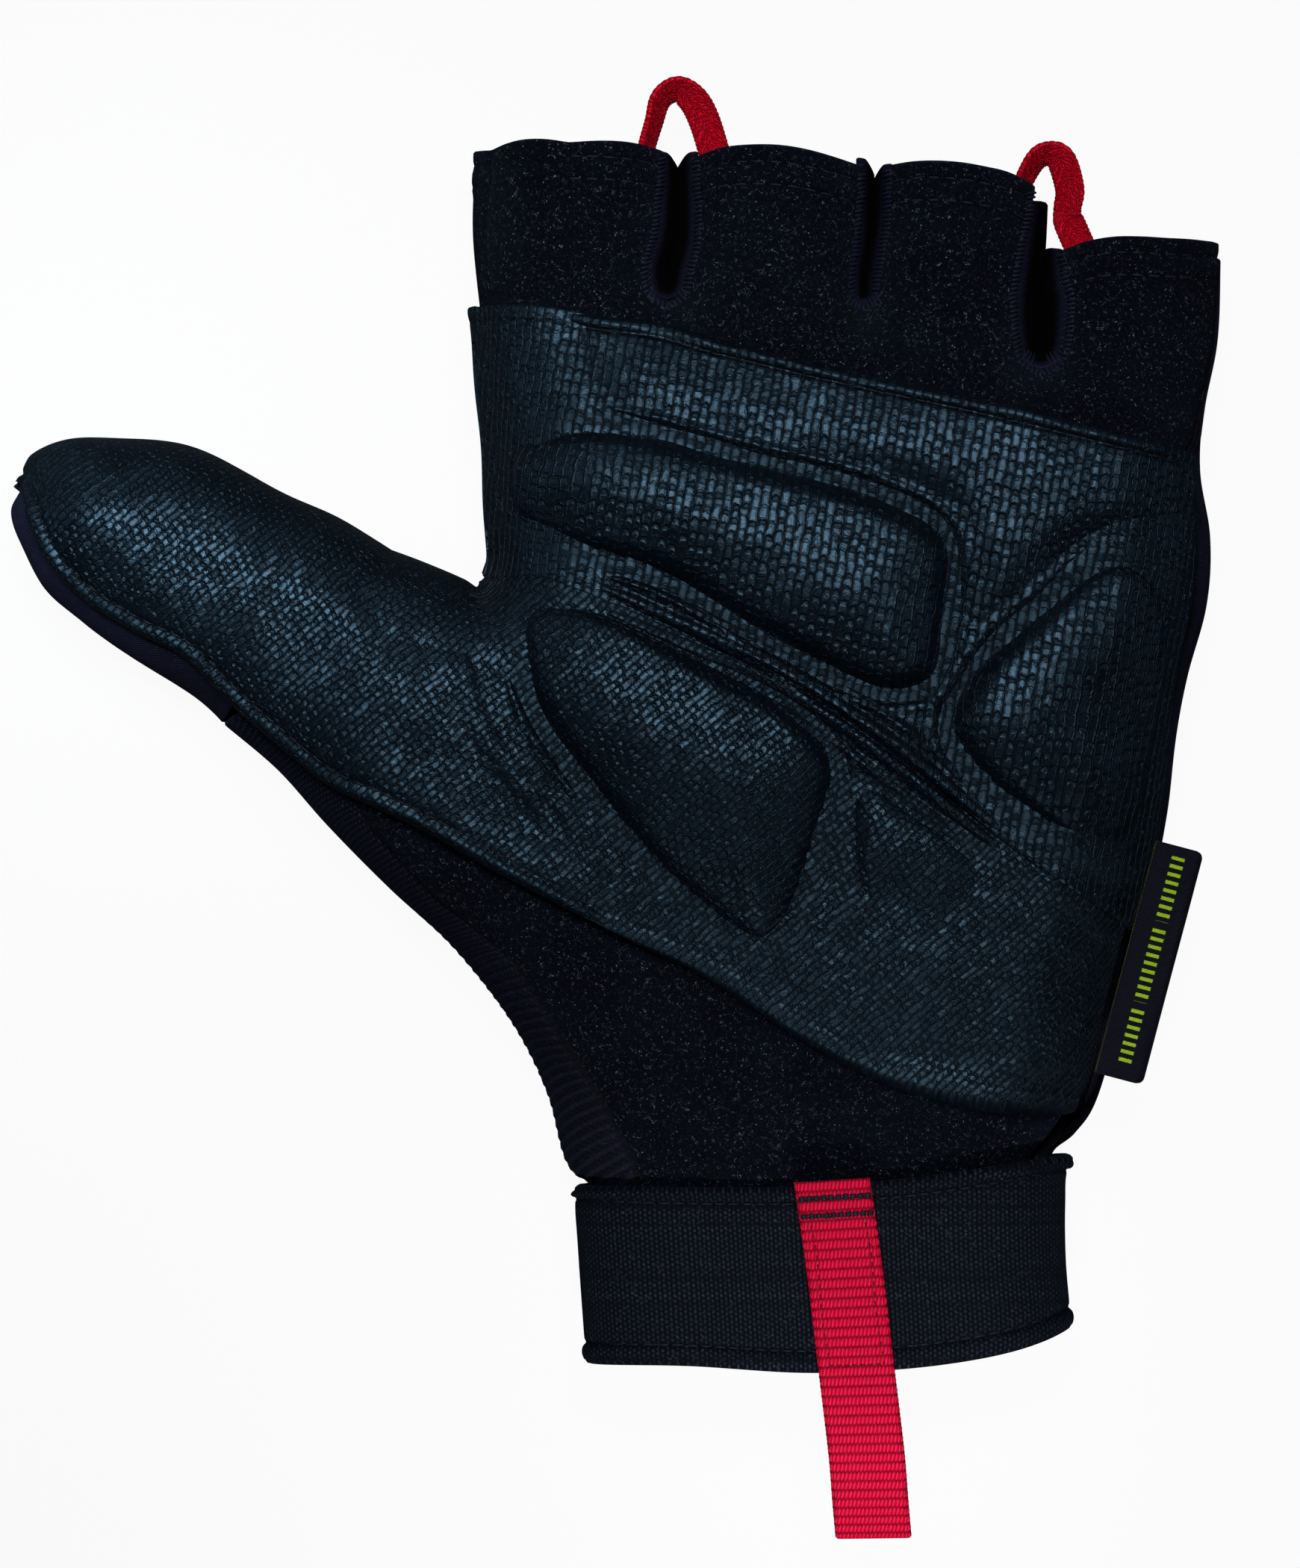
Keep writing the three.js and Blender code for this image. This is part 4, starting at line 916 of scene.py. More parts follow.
# The ribbed gusset
# A stretch insert from the root of the thumb to the wrist. Its ribs run round the glove's edge: coarse and
# raised near the cuff, fine and slanting towards the thumb. It is sewn in between the palm and the back.
GUSSET_TURN = 12
GUSSET_ROWS = 300
RIB_PITCH = 1.55
RIB_HEIGHT = 0.42


def ribs_group():
    """Rounded ribs along one way of the cloth, broken up into the loops of a knit. The second output marks
    the raised loop tops, which the materials paint lighter than the hollows between them as painted shade.
    """
    tree, given, result = start_group(
        "Knit ribs", [("Cloth", None), ("Pitch", 0.7), ("Loop", 0.9), ("Wander", 0.25)], ["Height", "Loop shade"])
    u, v, _ = parts_of(tree, given["Cloth"])
    wander = noise(tree, given["Cloth"], 0.8, 2.0) * given["Wander"]
    column = u / given["Pitch"] + wander
    ridge = column.fold() * 2.0
    shift = column.math("FLOOR") * 0.5
    loops = (v / given["Loop"] + shift).fold() * 2.0
    round_ridge = ridge.power(0.6)
    join(tree, round_ridge * (loops * 0.45 + 0.55), result["Height"])
    join(tree, ridge.between(0.25, 0.9) * loops.between(0.15, 0.8), result["Loop shade"])
    return tree


knit_ribs = ribs_group()


def gusset_sheet():
    t = mix(0.0, len(GUSSET_EDGE) - 1, np.linspace(0, 1, GUSSET_ROWS + 1))
    edge = at_share(low_side.line, (len(THUMB_LOW) + 1 + t) / low_side.spans)
    points, normals = [], []
    for j in range(-GUSSET_TURN, GUSSET_TURN + 1):
        seam = np.array(GUSSET_PALM if j < 0 else GUSSET_BACK, float)
        reach = 1 - math.cos(math.pi / 2 * abs(j) / GUSSET_TURN)
        xy = mix(edge, at_share(seam, t / (len(seam) - 1)), reach)
        point, normal, _ = skin(xy, -np.sign(j))
        points.append(tucked(point, normal))
        normals.append(normal)
    points, normals = np.stack(points, 1), np.stack(normals, 1)
    around = run_across(points)
    return points, normals, around, np.broadcast_to(run_along(edge)[:, None], around.shape), edge


gusset_points, gusset_normals, around, along, gusset_edge = gusset_sheet()
half_way = around[:, GUSSET_TURN:GUSSET_TURN + 1]
slant = along + (half_way - around) * 0.42
coarse = smooth((along - 34) / 22) * smooth((gusset_edge[:, 1, None] - WRIST_END - 3) / 3)
from_seam = np.minimum(around, around[:, -1:] - around)
side_share = smooth(from_seam / 1.6)
rib_wave = np.abs(np.sin(slant * math.pi / RIB_PITCH))**0.7
gusset_lift = (rib_wave * RIB_HEIGHT * coarse - 0.35 * (1 - side_share)).ravel()
rib_gusset = cloth_wall("rib_gusset_cloth", gusset_points.reshape(-1, 3), gusset_normals.reshape(-1, 3),
                        grid_quads(GUSSET_ROWS, 2 * GUSSET_TURN), -CLOTH, 0,
                        np.stack([slant, around], -1).reshape(-1, 2), gusset_lift,
                        {"seam": from_seam.ravel(), "coarse": coarse.ravel(), "wave": rib_wave.ravel()})


def gusset_knit():
    material, tree, bsdf, place, cloth = start_material(
        "ribbed stretch cloth", 0.8, Specular_IOR_Level=0.1, Sheen_Weight=0.02, Sheen_Tint=(0.4, 0.5, 1, 1))
    fine = place_group(tree, knit_ribs, Cloth=cloth, Pitch=0.78, Loop=0.8, Wander=0.2)
    coarse_share = field(tree, "coarse")
    wave = field(tree, "wave")
    lint = place_group(tree, lint_on_cloth, Place=place, Speck_Size=0.07, Spacing=1.5)["Lint"]
    dip = place_group(tree, stitched_dip, Seam=field(tree, "seam"), Width=0.5)["Dip"]
    # Painted shade: the knit's loop tops and the crests of the coarse ribs are lighter than the hollows
    # between them, and the cloth is darker in the seam grooves.
    shade = fine["Loop shade"] * (coarse_share.minus_from(1.0) * 0.8 + 0.2)
    shade = shade + wave.between(0.5, 1.0) * coarse_share * 0.5
    ground = colours(tree, shade, (0.0008, 0.001, 0.0026), (0.011, 0.013, 0.03))
    ground = colours(tree, dip * 0.8, ground, (0.0006, 0.0007, 0.0014))
    join(tree, colours(tree, lint * 0.25, ground, (0.2, 0.22, 0.3)), bsdf.inputs["Base Color"])
    join(tree, bump(tree, fine["Height"], 0.14), bsdf.inputs["Normal"])
    return material


rib_gusset.data.materials.append(gusset_knit())
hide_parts("rib_gusset")
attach(rib_gusset, "root")


# The side panel
# A narrow strip of the same navy twill that makes the wall along the little-finger side, from the hem of
# the finger stub to the cuff.
SIDE_COLUMNS = 240
SIDE_STEPS = 16
SIDE_START = 0.094
SIDE_END = 0.87


def strip_sheet(side, columns, start, end, turns, steps):
    """A strip round a side, as far above and below the edge as its turns along the whole line say."""
    share = mix(start, end, np.linspace(0, 1, columns + 1))
    turn = np.interp(share, np.linspace(0, 1, len(turns)), turns)
    angle = (turn[:, None] * np.linspace(-1, 1, steps + 1)).ravel()
    share = np.repeat(share, steps + 1)
    points, normals = round_side(side, share, angle)
    points = tucked(points, normals)
    place = points.reshape(columns + 1, steps + 1, 3)
    along, across = run_along(place[:, steps // 2]), run_across(place)
    uv = np.stack([np.broadcast_to(along[:, None], across.shape), across], -1).reshape(-1, 2)
    edge = np.minimum(across, across[:, -1:] - across).ravel()
    return points, normals, uv, edge, grid_quads(columns, steps)


side_points, side_normals, side_uv, side_edge, side_quads = strip_sheet(
    little_side, SIDE_COLUMNS, SIDE_START, SIDE_END, side_turn(little_side.line[:, 1]), SIDE_STEPS)
side_points[:, 2] += slump(side_points[:, :2]) * (side_normals[:, 2] > 0)
side_lift = 0.25 * np.sin(side_uv[:, 0] / 5.5) * smooth(side_edge / 3) - 0.3 * np.exp(-(side_edge / 0.7)**2)
side_panel = cloth_wall("side_twill", side_points, side_normals, side_quads, -CLOTH, 0, side_uv, side_lift,
                        {"seam": side_edge})
side_panel.data.materials.append(navy_twill)
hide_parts("side_panel")
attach(side_panel, "root")


# The walls between the fingers
# Three strips of fine ribbed stretch cloth, each down one finger, round the slot and up the next. The palm's
# edge along each slot is whipped over with a dark blue thread.
FORK_ENDS = ((0.075, 0.925), (0.08, 0.915), (0.09, 0.87))
FORK_CLOTH = 1.2
FORK_COLUMNS = 150
FORK_STEPS = 14
WHIP_PITCH = 0.62
WHIP_LENGTH = 0.85
FORK_NOTCHES = (1.9, 2.0, 0.0)
TACK_STITCHES = 9


def fork_knit():
    material, tree, bsdf, _, cloth = start_material("ribbed wall cloth", 0.85, Specular_IOR_Level=0.05)
    u, v, _ = parts_of(tree, cloth)
    slanted = vector(tree, u + abs(field(tree, "seam")) * 0.8, v)
    ribs = place_group(tree, knit_ribs, Cloth=slanted, Pitch=0.55, Loop=2.5, Wander=0.12)
    # Painted shade: the wall is lighter on its rib crests and near its two edges, and nearly black more than
    # about 2 mm in from its edges, deep in the slot.
    deep_shade = field(tree, "seam").between(0.2, 2.2)
    shade = ribs["Height"] * deep_shade.minus_from(1.0)
    ground = colours(tree, shade, (0.0003, 0.0003, 0.0009), (0.013, 0.014, 0.034))
    join(tree, ground, bsdf.inputs["Base Color"])
    join(tree, bump(tree, ribs["Height"], 0.16), bsdf.inputs["Normal"])
    return material


def whipping(i, side, turns):
    """The slanting stitches over the palm's edge down one side of a slot and up the other."""
    rim = evenly(side.moved_in(1, turns + SEAM_ANGLE), 0.1)[0]
    half = len(rim) // 2
    starts, ends, ups = [], [], []
    for f, share, part in ((i, 1.0, rim[:half]), (i + 1, 0.0, rim[half:])):
        top = hem_height(f, share)
        part = evenly(part[part[:, 1] < top - 0.5], WHIP_PITCH)[0]
        ahead = unit(np.gradient(part, axis=0))
        into = np.column_stack([-ahead[:, 1], ahead[:, 0]]) * side.inward
        low, _ = palm_surface(part - into * 0.3, top - part[:, 1])
        high, up = palm_surface(part + into * WHIP_LENGTH + ahead * 0.3, top - part[:, 1])
        starts.append(low)
        ends.append(high)
        ups.append(up)
    return np.vstack(starts), np.vstack(ends), np.vstack(ups)


def slot_tack(slot):
    """A little bundle of stitches that fans out below the end of a slot, where it takes the strain."""
    x, y = slot["line"][4]
    spread = np.linspace(-1, 1, TACK_STITCHES)
    start = np.column_stack([x + spread * 1.5, y - 0.5 + 0.7 * np.abs(spread)])
    end = np.column_stack([x + spread * 2.6, y - 2.4 + 0.9 * np.abs(spread)])
    low, up = palm_surface(start)
    high, _ = palm_surface(end)
    return low, high, up


fork_cloth = fork_knit()
whip_rows = []
for i, (side, slot) in enumerate(zip(slot_sides, SLOTS)):
    start, end = FORK_ENDS[i]
    turns = slot_turn(slot, len(side.line))
    points, normals, uv, edge, quads = strip_sheet(side, FORK_COLUMNS, start, end, turns, FORK_STEPS)
    half_way = len(side.line) // 2
    across = side.line[:half_way][::-1], side.line[half_way:]
    gap = np.abs(x_on(across[0], points[:, 1]) - x_on(across[1], points[:, 1]))
    middle = np.cos(np.tile(np.linspace(-math.pi / 2, math.pi / 2, FORK_STEPS + 1), FORK_COLUMNS + 1))**2
    from_end = np.minimum(uv[:, 0], uv[:, 0].max() - uv[:, 0])
    points[:, 1] -= FORK_NOTCHES[i] * middle * (1 - smooth(from_end / 9))
    upper_half = np.clip(np.tile(np.linspace(-2, 2, FORK_STEPS + 1), FORK_COLUMNS + 1), 0, 1)
    points[:, 2] += slump(points[:, :2]) * upper_half
    wall = cloth_wall(f"finger_wall_{i + 1}", points, normals, quads, -FORK_CLOTH, 0, uv,
                      (gap / 2 + 0.1) * middle, {"seam": edge})
    wall.data.materials.append(fork_cloth)
    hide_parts(f"fourchette_{i + 1}")
    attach(wall, "root")
    whip_rows += [whipping(i, side, turns), slot_tack(slot)]
blue_thread = thread("dark blue thread", (0.006, 0.0065, 0.016), 0.25)
sew("slot_whipping", whip_rows, blue_thread, 0.2)


# The upper grip patch
# A sheet of woven cloth with a glossy coating, sewn over the knuckle line. Its top edge is turned under and
# stitched, and two foam pads are held beneath it by stitching that sinks a channel round each of them.
RIDGE = [(-17.2, 31.9), (-14.6, 33.2), (-11, 33.5), (-4.5, 31.3), (10.6, 24.8), (25.7, 17.7), (40.9, 7.1),
         (56, -5), (70.9, -15.4)]
PADS = {
    "knuckle": [(-14.8, 49.2), (-4.5, 52), (18.1, 46.9), (37.1, 41.6), (44.2, 37), (44.4, 27), (42.6, 18.6),
                (37.1, 17.4), (22, 24.4), (6.8, 33.2), (-8.3, 37.7), (-15, 42)],
    "side": [(69, 33.6), (74.5, 31), (76.4, 23), (74.4, 8), (72, -6.4), (68, -7.4), (58, -0.8), (49.4, 7),
             (47.2, 11.6), (50.7, 18.7), (59, 26.5)],
    "thumb": [(-11.8, 27.2), (-3.5, 27.2), (10.6, 20.4), (24, 12.6), (29, 6), (27.3, -3), (23, -16),
              (19.8, -18.6), (9.6, -11), (-3, 4), (-10.4, 15.5)],
    "heel": [(33.4, 2.6), (41.5, -1.8), (54, -10.6), (66.5, -19.6), (67, -26), (63, -33.6), (53, -34),
             (41.5, -29), (35.2, -20), (33, -8)],
}
PAD_HEIGHT = {"knuckle": 1.8, "side": 1.8, "thumb": 1.8, "heel": 0.7}
PAD_CROWN = 2.0
PAD_VALLEY = 1.3
CHANNEL = {"at": -1.7, "width": 1.0, "depth": 0.7}
WELT = {"at": -3.5, "width": 0.55, "height": 0.75}
SEAM_SHIFT = 1.2
CORD = {"at": 1.15, "width": 0.85, "height": 0.85}
CORD_STITCHES = 2.5
PATCH_SIDE_ANGLES = (20.0, 34.0)
EDGE_ROLL = 1.7
UPPER_COLUMNS = 230
ridge_line = curve_through(RIDGE)
patch_top = curve_through(PATCH_TOP)
pad_rings = {name: curve_through(points, closed=True) for name, points in PADS.items()}


def beside(line, distance):
    """A line moved sideways in plan, to its left for a positive distance."""
    ahead = unit(np.gradient(line, axis=0))
    return line + np.column_stack([-ahead[:, 1], ahead[:, 0]]) * np.broadcast_to(distance, len(line))[:, None]


seam_line = beside(ridge_line, -SEAM_SHIFT * smooth(np.linspace(0, 1, len(ridge_line)) / 0.12))


def beyond(line, xy):
    """Signed distance from a line that runs left to right: positive above it; and the run along it."""
    distance, offset, run, segment = nearest_on(line, xy)
    ahead = np.diff(line, axis=0)[segment]
    return distance * np.sign(ahead[:, 0] * offset[:, 1] - ahead[:, 1] * offset[:, 0] + 1e-12), run


def away_from_index(xy):
    """0 at the index side, where the patch is drawn smoothly round the edge, and 1 on the palm."""
    share = smooth((nearest_on(index_edge, xy)[0] - 1.2) / 3.2)
    return np.where(xy[:, 1] > 27, share, mix(1, share, smooth((xy[:, 1] - 22) / 5)))


def on_the_palm(xy):
    return away_from_index(xy) * smooth((nearest_on(little_side.line, xy)[0] - 2) / 4)


def patch_relief(xy):
    """How far the pads, their channels and welts and the cords at the seam lift the patches."""
    lift, trough, valley = np.zeros((3, len(xy)))
    for name, ring in pad_rings.items():
        inside = depth_inside(ring, xy)
        fullness = PAD_HEIGHT[name] / PAD_HEIGHT["knuckle"]
        full = np.clip(inside / 12, 0, 1)
        pad = PAD_HEIGHT[name] * smooth((inside + 1.0) / 2.8) + PAD_CROWN * fullness * (1 - (1 - full)**2)
        welt = WELT["height"] * np.exp(-((inside - WELT["at"]) / WELT["width"])**2)
        lift = np.maximum(lift, pad + welt * fullness)
        valley = np.maximum(valley, PAD_VALLEY * fullness * smooth((inside + 9) / 7) * (inside < 0))
        dip = CHANNEL["depth"] * np.exp(-((inside - CHANNEL["at"]) / CHANNEL["width"])**2)
        trough = np.maximum(trough, dip * fullness)
    above, run = beyond(seam_line, xy)
    cord_share = smooth((run - 1) / 9)
    cord = np.sqrt(np.maximum(0, 1 - ((np.abs(above) - CORD["at"]) / CORD["width"])**2)) * CORD["height"]
    cord = np.maximum(cord, 0.6 * np.exp(-((np.abs(above) - 3.7) / 0.6)**2)) * cord_share
    beside_cord = np.exp(-((np.abs(above) - CORD_STITCHES) / 0.45)**2) * 0.3
    between_cords = np.exp(-(above / 0.4)**2) * 0.35
    fade = smooth((nearest_on(little_side.line, xy)[0] - 1) / 4) * away_from_index(xy)
    seam_dip = (beside_cord + between_cords) * mix(0.5, 1, cord_share)
    return (np.maximum(lift, cord) - trough - valley - seam_dip) * fade


PATCH_CREASES = (
    ([(-19.8, 31), (-17.8, 27), (-15.6, 22), (-14, 15)], 0.8, 1.1),
    ([(-14.5, 35.5), (-6, 35.8), (3, 32.5), (12, 28)], 0.35, 1.1),
    ([(45.8, 34), (47, 26), (45.6, 18)], 0.5, 1.4),
    ([(-20, 24), (-17.5, 14), (-11, 4), (-3, -4)], 0.55, 1.2),
    ([(-23.5, 20), (-21, 11), (-15, 2), (-8, -5)], 0.4, 1.3),
    ([(31, 3), (31, -8), (27, -18), (24, -25)], 0.5, 1.5),
    ([(-42, 36), (-33, 26), (-28, 14)], 0.3, 2.2),
    ([(36, -4), (40, -16), (43, -26)], 0.3, 1.4),
)


def patch_folds(xy):
    """Soft creases where the palm bends."""
    total = np.zeros(len(xy))
    for points, depth, width in PATCH_CREASES:
        line = curve_through(points)
        distance, _, run, _ = nearest_on(line, xy)
        ends = smooth(run / 6) * smooth((run.max() - run) / 6)
        total -= depth * np.exp(-(distance / width)**2) * ends
    return total * away_from_index(xy)


def rolled_edge(distance):
    """A turned and stitched edge: a soft roll, then the groove of its stitches."""
    roll = 0.45 * np.sin(math.pi * np.clip(distance / EDGE_ROLL, 0, 1)) - 0.35 * (1 - smooth(distance / 0.5))
    return roll - 0.3 * np.exp(-((distance - EDGE_ROLL - 0.2) / 0.32)**2)


def dense_at(count, *bands):
    """Shares from 0 to 1 with steps that are finer in some bands: (from, to, how many times finer)."""
    fine = np.linspace(0, 1, 2001)
    weight = np.ones_like(fine)
    for low, high, times in bands:
        weight = np.maximum(weight, np.where((fine >= low) & (fine <= high), times, 1))
    run = np.concatenate([[0], np.cumsum((weight[1:] + weight[:-1]) / 2)])
    return np.interp(np.linspace(0, 1, count + 1), run / run[-1], fine)


def upper_patch_plan():
    even = np.linspace(0, 1, UPPER_COLUMNS + 1)[:, None]
    u = mix(even, (1 - np.cos(math.pi * even)) / 2, 0.8)
    v = dense_at(122, (0, 0.09, 2.2), (0.93, 1, 2.4))[None]
    low = at_share(seam_line, u[:, 0])[:, None]
    high = at_share(patch_top, u[:, 0])[:, None]
    right_edge = little_side.moved_in(1, mix(*PATCH_SIDE_ANGLES, smooth((little_side.line[:, 1] + 4) / 28)))
    plan = mix(low, high, v[..., None])
    left_bulge = x_on(index_edge, plan[0, :, 1]) - plan[0, :, 0]
    right_bulge = x_on(right_edge, plan[-1, :, 1]) - plan[-1, :, 0]
    ends_only = 1 + 9 * (1 - smooth(v / 0.25))
    plan[..., 0] += left_bulge * (1 - u)**ends_only + right_bulge * u**ends_only
    return plan.reshape(-1, 2), v.shape[1] - 1


def patch_lift(xy):
    return patch_relief(xy) + patch_folds(xy) + ripple(xy, 15, 0.16, 11) + slump(xy)


def patch_wall(name, xy, columns, rows, edge_distance):
    points, normals, flat = skin(xy, 1)
    lift = patch_lift(xy) + rolled_edge(edge_distance) * (0.15 + 0.85 * on_the_palm(xy))
    above, _ = beyond(seam_line, xy)
    seam = np.minimum(np.abs(edge_distance - EDGE_ROLL - 0.2), np.abs(above) * 0.7)
    seam = np.minimum(seam, np.abs(np.abs(above) - CORD_STITCHES))
    channel = np.min([np.abs(depth_inside(ring, xy) - CHANNEL["at"]) for ring in pad_rings.values()], axis=0)
    return cloth_wall(name, points, normals, grid_quads(columns, rows), GAP, LAYER, flat, lift,
                      {"seam": seam, "channel": channel, "edge": edge_distance})


def coated_weave_group():
    """A coated knit: columns of arched scales, hollow below each arch, with narrow grooves between."""
    tree, given, result = start_group(
        "Coated weave", [("Cloth", None), ("Turn", 1.4), ("Column", 1.3), ("Cell", 1.85), ("Wander", 0.35)],
        ["Height", "Scale", "Hollow"])
    back = Value(tree, given["Turn"]) * -1.0
    turned = node(tree, "ShaderNodeVectorRotate", {"Vector": given["Cloth"], "Angle": back},
                  rotation_type="Z_AXIS").outputs[0]
    along, across, _ = parts_of(tree, turned)
    drift = noise(tree, given["Cloth"], 0.35, 1.0) * given["Wander"] * 3.0
    jitter = noise(tree, given["Cloth"], 1.6, 1.0) * given["Wander"]
    column = (across + drift + jitter) / given["Column"]
    column_number = column.math("FLOOR")
    x = (column - column_number - 0.5) * 2.0
    own = node(tree, "ShaderNodeTexWhiteNoise", {"Vector": vector(tree, column_number)})
    cell = (along + jitter * 2.0) / given["Cell"] + Value(tree, own.outputs["Value"]) * 2.0 + x * x * 0.22
    cell_number = cell.math("FLOOR")
    chance = node(tree, "ShaderNodeTexWhiteNoise", {"Vector": vector(tree, column_number, cell_number)})
    lucks = parts_of(tree, chance.outputs["Color"])
    y = (cell - cell_number - 0.5) * 2.0
    crumb = noise(tree, given["Cloth"], 2.4, 3.0, 0.65)
    ragged = (crumb - 0.5) * 0.5
    wide = abs(x) + ragged
    beside_column = wide.between(1.0, 0.74)
    bead = wide.between(0.48, 0.7) * beside_column
    below_arch = (y + ragged).between(1.0, 0.84)
    rim = (y + ragged).between(0.5, 0.78) * below_arch
    hollow = y.between(-0.25, 0.25) * y.between(0.85, 0.45) * abs(x).between(0.85, 0.5)
    hollow = hollow * lucks[1].between(0.15, 0.6)
    scale = beside_column * (below_arch * 0.6 + 0.4)
    tipped = x * (lucks[0] - 0.5) * 0.3 + y * (lucks[2] - 0.5) * 0.35
    edges = (bead + rim) * 0.16
    join(tree, scale * (tipped + 0.9) + edges - hollow * 0.5 + crumb * 0.22, result["Height"])
    join(tree, scale, result["Scale"])
    join(tree, hollow, result["Hollow"])
    return tree


coated_weave = coated_weave_group()


def grip_coating(name, turn, column, cell):
    material, tree, bsdf, place, cloth = start_material(
        name, 0.3, Specular_IOR_Level=0.48, Specular_Tint=(0.37, 0.68, 0.98, 1))
    weave = place_group(tree, coated_weave, Cloth=cloth, Turn=turn, Column=column, Cell=cell, Wander=0.3)
    lint = place_group(tree, lint_on_cloth, Place=place, Speck_Size=0.08, Spacing=1.3)["Lint"]
    dip = place_group(tree, stitched_dip, Seam=field(tree, "seam"), Width=0.42)["Dip"]
    trough = place_group(tree, stitched_dip, Seam=field(tree, "channel"), Width=1.0)["Dip"]
    worn = noise(tree, place, 0.09, 2.0)
    # Painted shade: the scale tops are lighter than the grooves and hollows between them, the lighter tops
    # are dimmed along the turned edge, and the cloth is darker in the seam grooves and the pads' channels.
    hem = field(tree, "edge").between(EDGE_ROLL + 0.3, EDGE_ROLL - 0.5)
    flat = weave["Scale"] * weave["Hollow"].minus_from(1.0) * (hem * -0.35 + 1.0)
    ground = colours(tree, flat * worn.between(0.1, 0.8), (0.0003, 0.0005, 0.0011), (0.0024, 0.0048, 0.0084))
    ground = colours(tree, dip.math("MAXIMUM", trough * 0.55) * 0.85, ground, (0.0005, 0.0007, 0.0012))
    join(tree, colours(tree, lint * 0.4, ground, (0.2, 0.24, 0.3)), bsdf.inputs["Base Color"])
    rough = flat * -0.26 + (worn * 0.08 + 0.55)
    join(tree, rough + trough * 0.2, bsdf.inputs["Roughness"])
    join(tree, bump(tree, weave["Height"] * (hem * -0.4 + 1.0), 0.3), bsdf.inputs["Normal"])
    return material


upper_xy, upper_rows = upper_patch_plan()
upper_edge = np.maximum(-beyond(patch_top, upper_xy)[0], 0)
upper_patch = patch_wall("grip_upper", upper_xy, UPPER_COLUMNS, upper_rows, upper_edge)
upper_patch.data.materials.append(grip_coating("coated weave", math.radians(80), 1.3, 1.85))
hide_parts("grip_patch_upper")
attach(upper_patch, "root")


# The thumb and heel grip patch
# The same coated weave, cut on the slant, from the tip of the thumb over its ball to the heel of the hand.
# It meets the upper patch in a seam with a cord along each side, and holds two more foam pads.
RIDGE_STEP = 0.15
RIDGE_SHARES = np.array([0, 0.14, 0.26, 0.39, 0.52, 0.64, 0.76, 0.88, 1])
THUMB_PART = len(THUMB_PATCH_LOW)
LOWER_FAN = 80.0
lower_free_edge = curve_through([*THUMB_PATCH_LOW, *HEEL_PATCH_LOW])


def lower_patch_plan():
    last = THUMB_PART + len(HEEL_PATCH_LOW) - 1
    t = np.concatenate([np.linspace(0, THUMB_PART - 1, 116)[:-1], np.linspace(THUMB_PART - 1, last, 205)])
    low = at_share(lower_free_edge, t / last)
    thumb_side = at_share(high_side.line, (t + 1) / high_side.spans)
    crossing = np.clip(t - THUMB_PART + 1, 0, 1)
    over_web = at_share(high_side.line, (THUMB_PART + 2 * crossing) / high_side.spans)
    over_web += np.outer(crossing, (0.02, -0.12))
    share = np.interp(t - THUMB_PART, np.arange(len(RIDGE_SHARES)), RIDGE_SHARES)
    near_web = 1 - smooth(share / 0.12)
    at_seam = at_share(seam_line, share)
    at_seam[:, 0] += 0.02 * near_web
    at_seam[:, 1] -= RIDGE_STEP - 0.03 * near_web
    past_thumb = np.where((t < THUMB_PART)[:, None], over_web, at_seam)
    high = np.where((t <= THUMB_PART - 1)[:, None], thumb_side, past_thumb)
    fan = math.radians(LOWER_FAN)
    even = dense_at(112, (0, 0.035, 2.0), (0.8, 1, 1.15))
    across = 1 - (1 - np.cos(fan * (1 - even))) / (1 - math.cos(fan))
    plan = mix(low[:, None], high[:, None], across[None, :, None])
    return plan.reshape(-1, 2), len(t) - 1, len(even) - 1


lower_xy, lower_columns, lower_rows = lower_patch_plan()
lower_edge = nearest_on(lower_free_edge, lower_xy)[0]
lower_patch = patch_wall("grip_thumb", lower_xy, lower_columns, lower_rows, lower_edge)
lower_patch.data.materials.append(grip_coating("coated weave on the slant", math.radians(40), 0.95, 1.3))
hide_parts("grip_patch_thumb")
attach(lower_patch, "root")


# The stitching of the grip patches
# A row inside every turned edge, one round each pad in its channel and one along each cord of the seam, all
# in the black thread.
PATCH_PITCH = 2.2
CORD_PITCH = 2.0
PATCH_STITCH_SHARE = 0.74
PAD_STITCHES = 2.75


def on_patch(xy):
    points, normals, _ = skin(xy, 1)
    return points + normals * (LAYER + patch_lift(xy) - 0.12)[:, None], normals


def between_x(line, left, right):
    return line[(line[:, 0] > left) & (line[:, 0] < right)]


patch_lines = [between_x(beside(patch_top, -(EDGE_ROLL + 0.2)), -17.6, 78),
               between_x(beside(lower_free_edge, EDGE_ROLL + 0.2), -78, 62)]
for ring in pad_rings.values():
    row = beside(ring, PAD_STITCHES)
    patch_lines.append(np.vstack([row, row[:1]]))
patch_rows = [stitch_row(line, on_patch, PATCH_PITCH, PATCH_STITCH_SHARE) for line in patch_lines]
for distance in (CORD_STITCHES, -CORD_STITCHES):
    row = beside(seam_line, distance)
    patch_rows.append(stitch_row(row[row[:, 0] > -14.5][:-6], on_patch, CORD_PITCH, PATCH_STITCH_SHARE))
sew("patch_stitches", patch_rows, black_thread, 0.15)


# The cuff
# A flattened ring of knitted elastic, sewn to the wrist, with a narrow turned edge above and below.
CUFF_BOTTOM = [(-6, -76.8), (8, -76.6), (27, -77.6), (45, -76.4), (57, -73.8), (64, -70.4)]
CUFF_COLUMNS = 300
KNIT = 1.5
CUFF_PIPING = ((0.0, 0.06), (0.905, 1.0))
CUFF_SEAMS = (0.075, 0.895)
CUFF_DEPTH = 24.5
cuff_bottom = curve_through(CUFF_BOTTOM)
wrist_edge = low_side.line[-4 * CURVE_STEPS:]


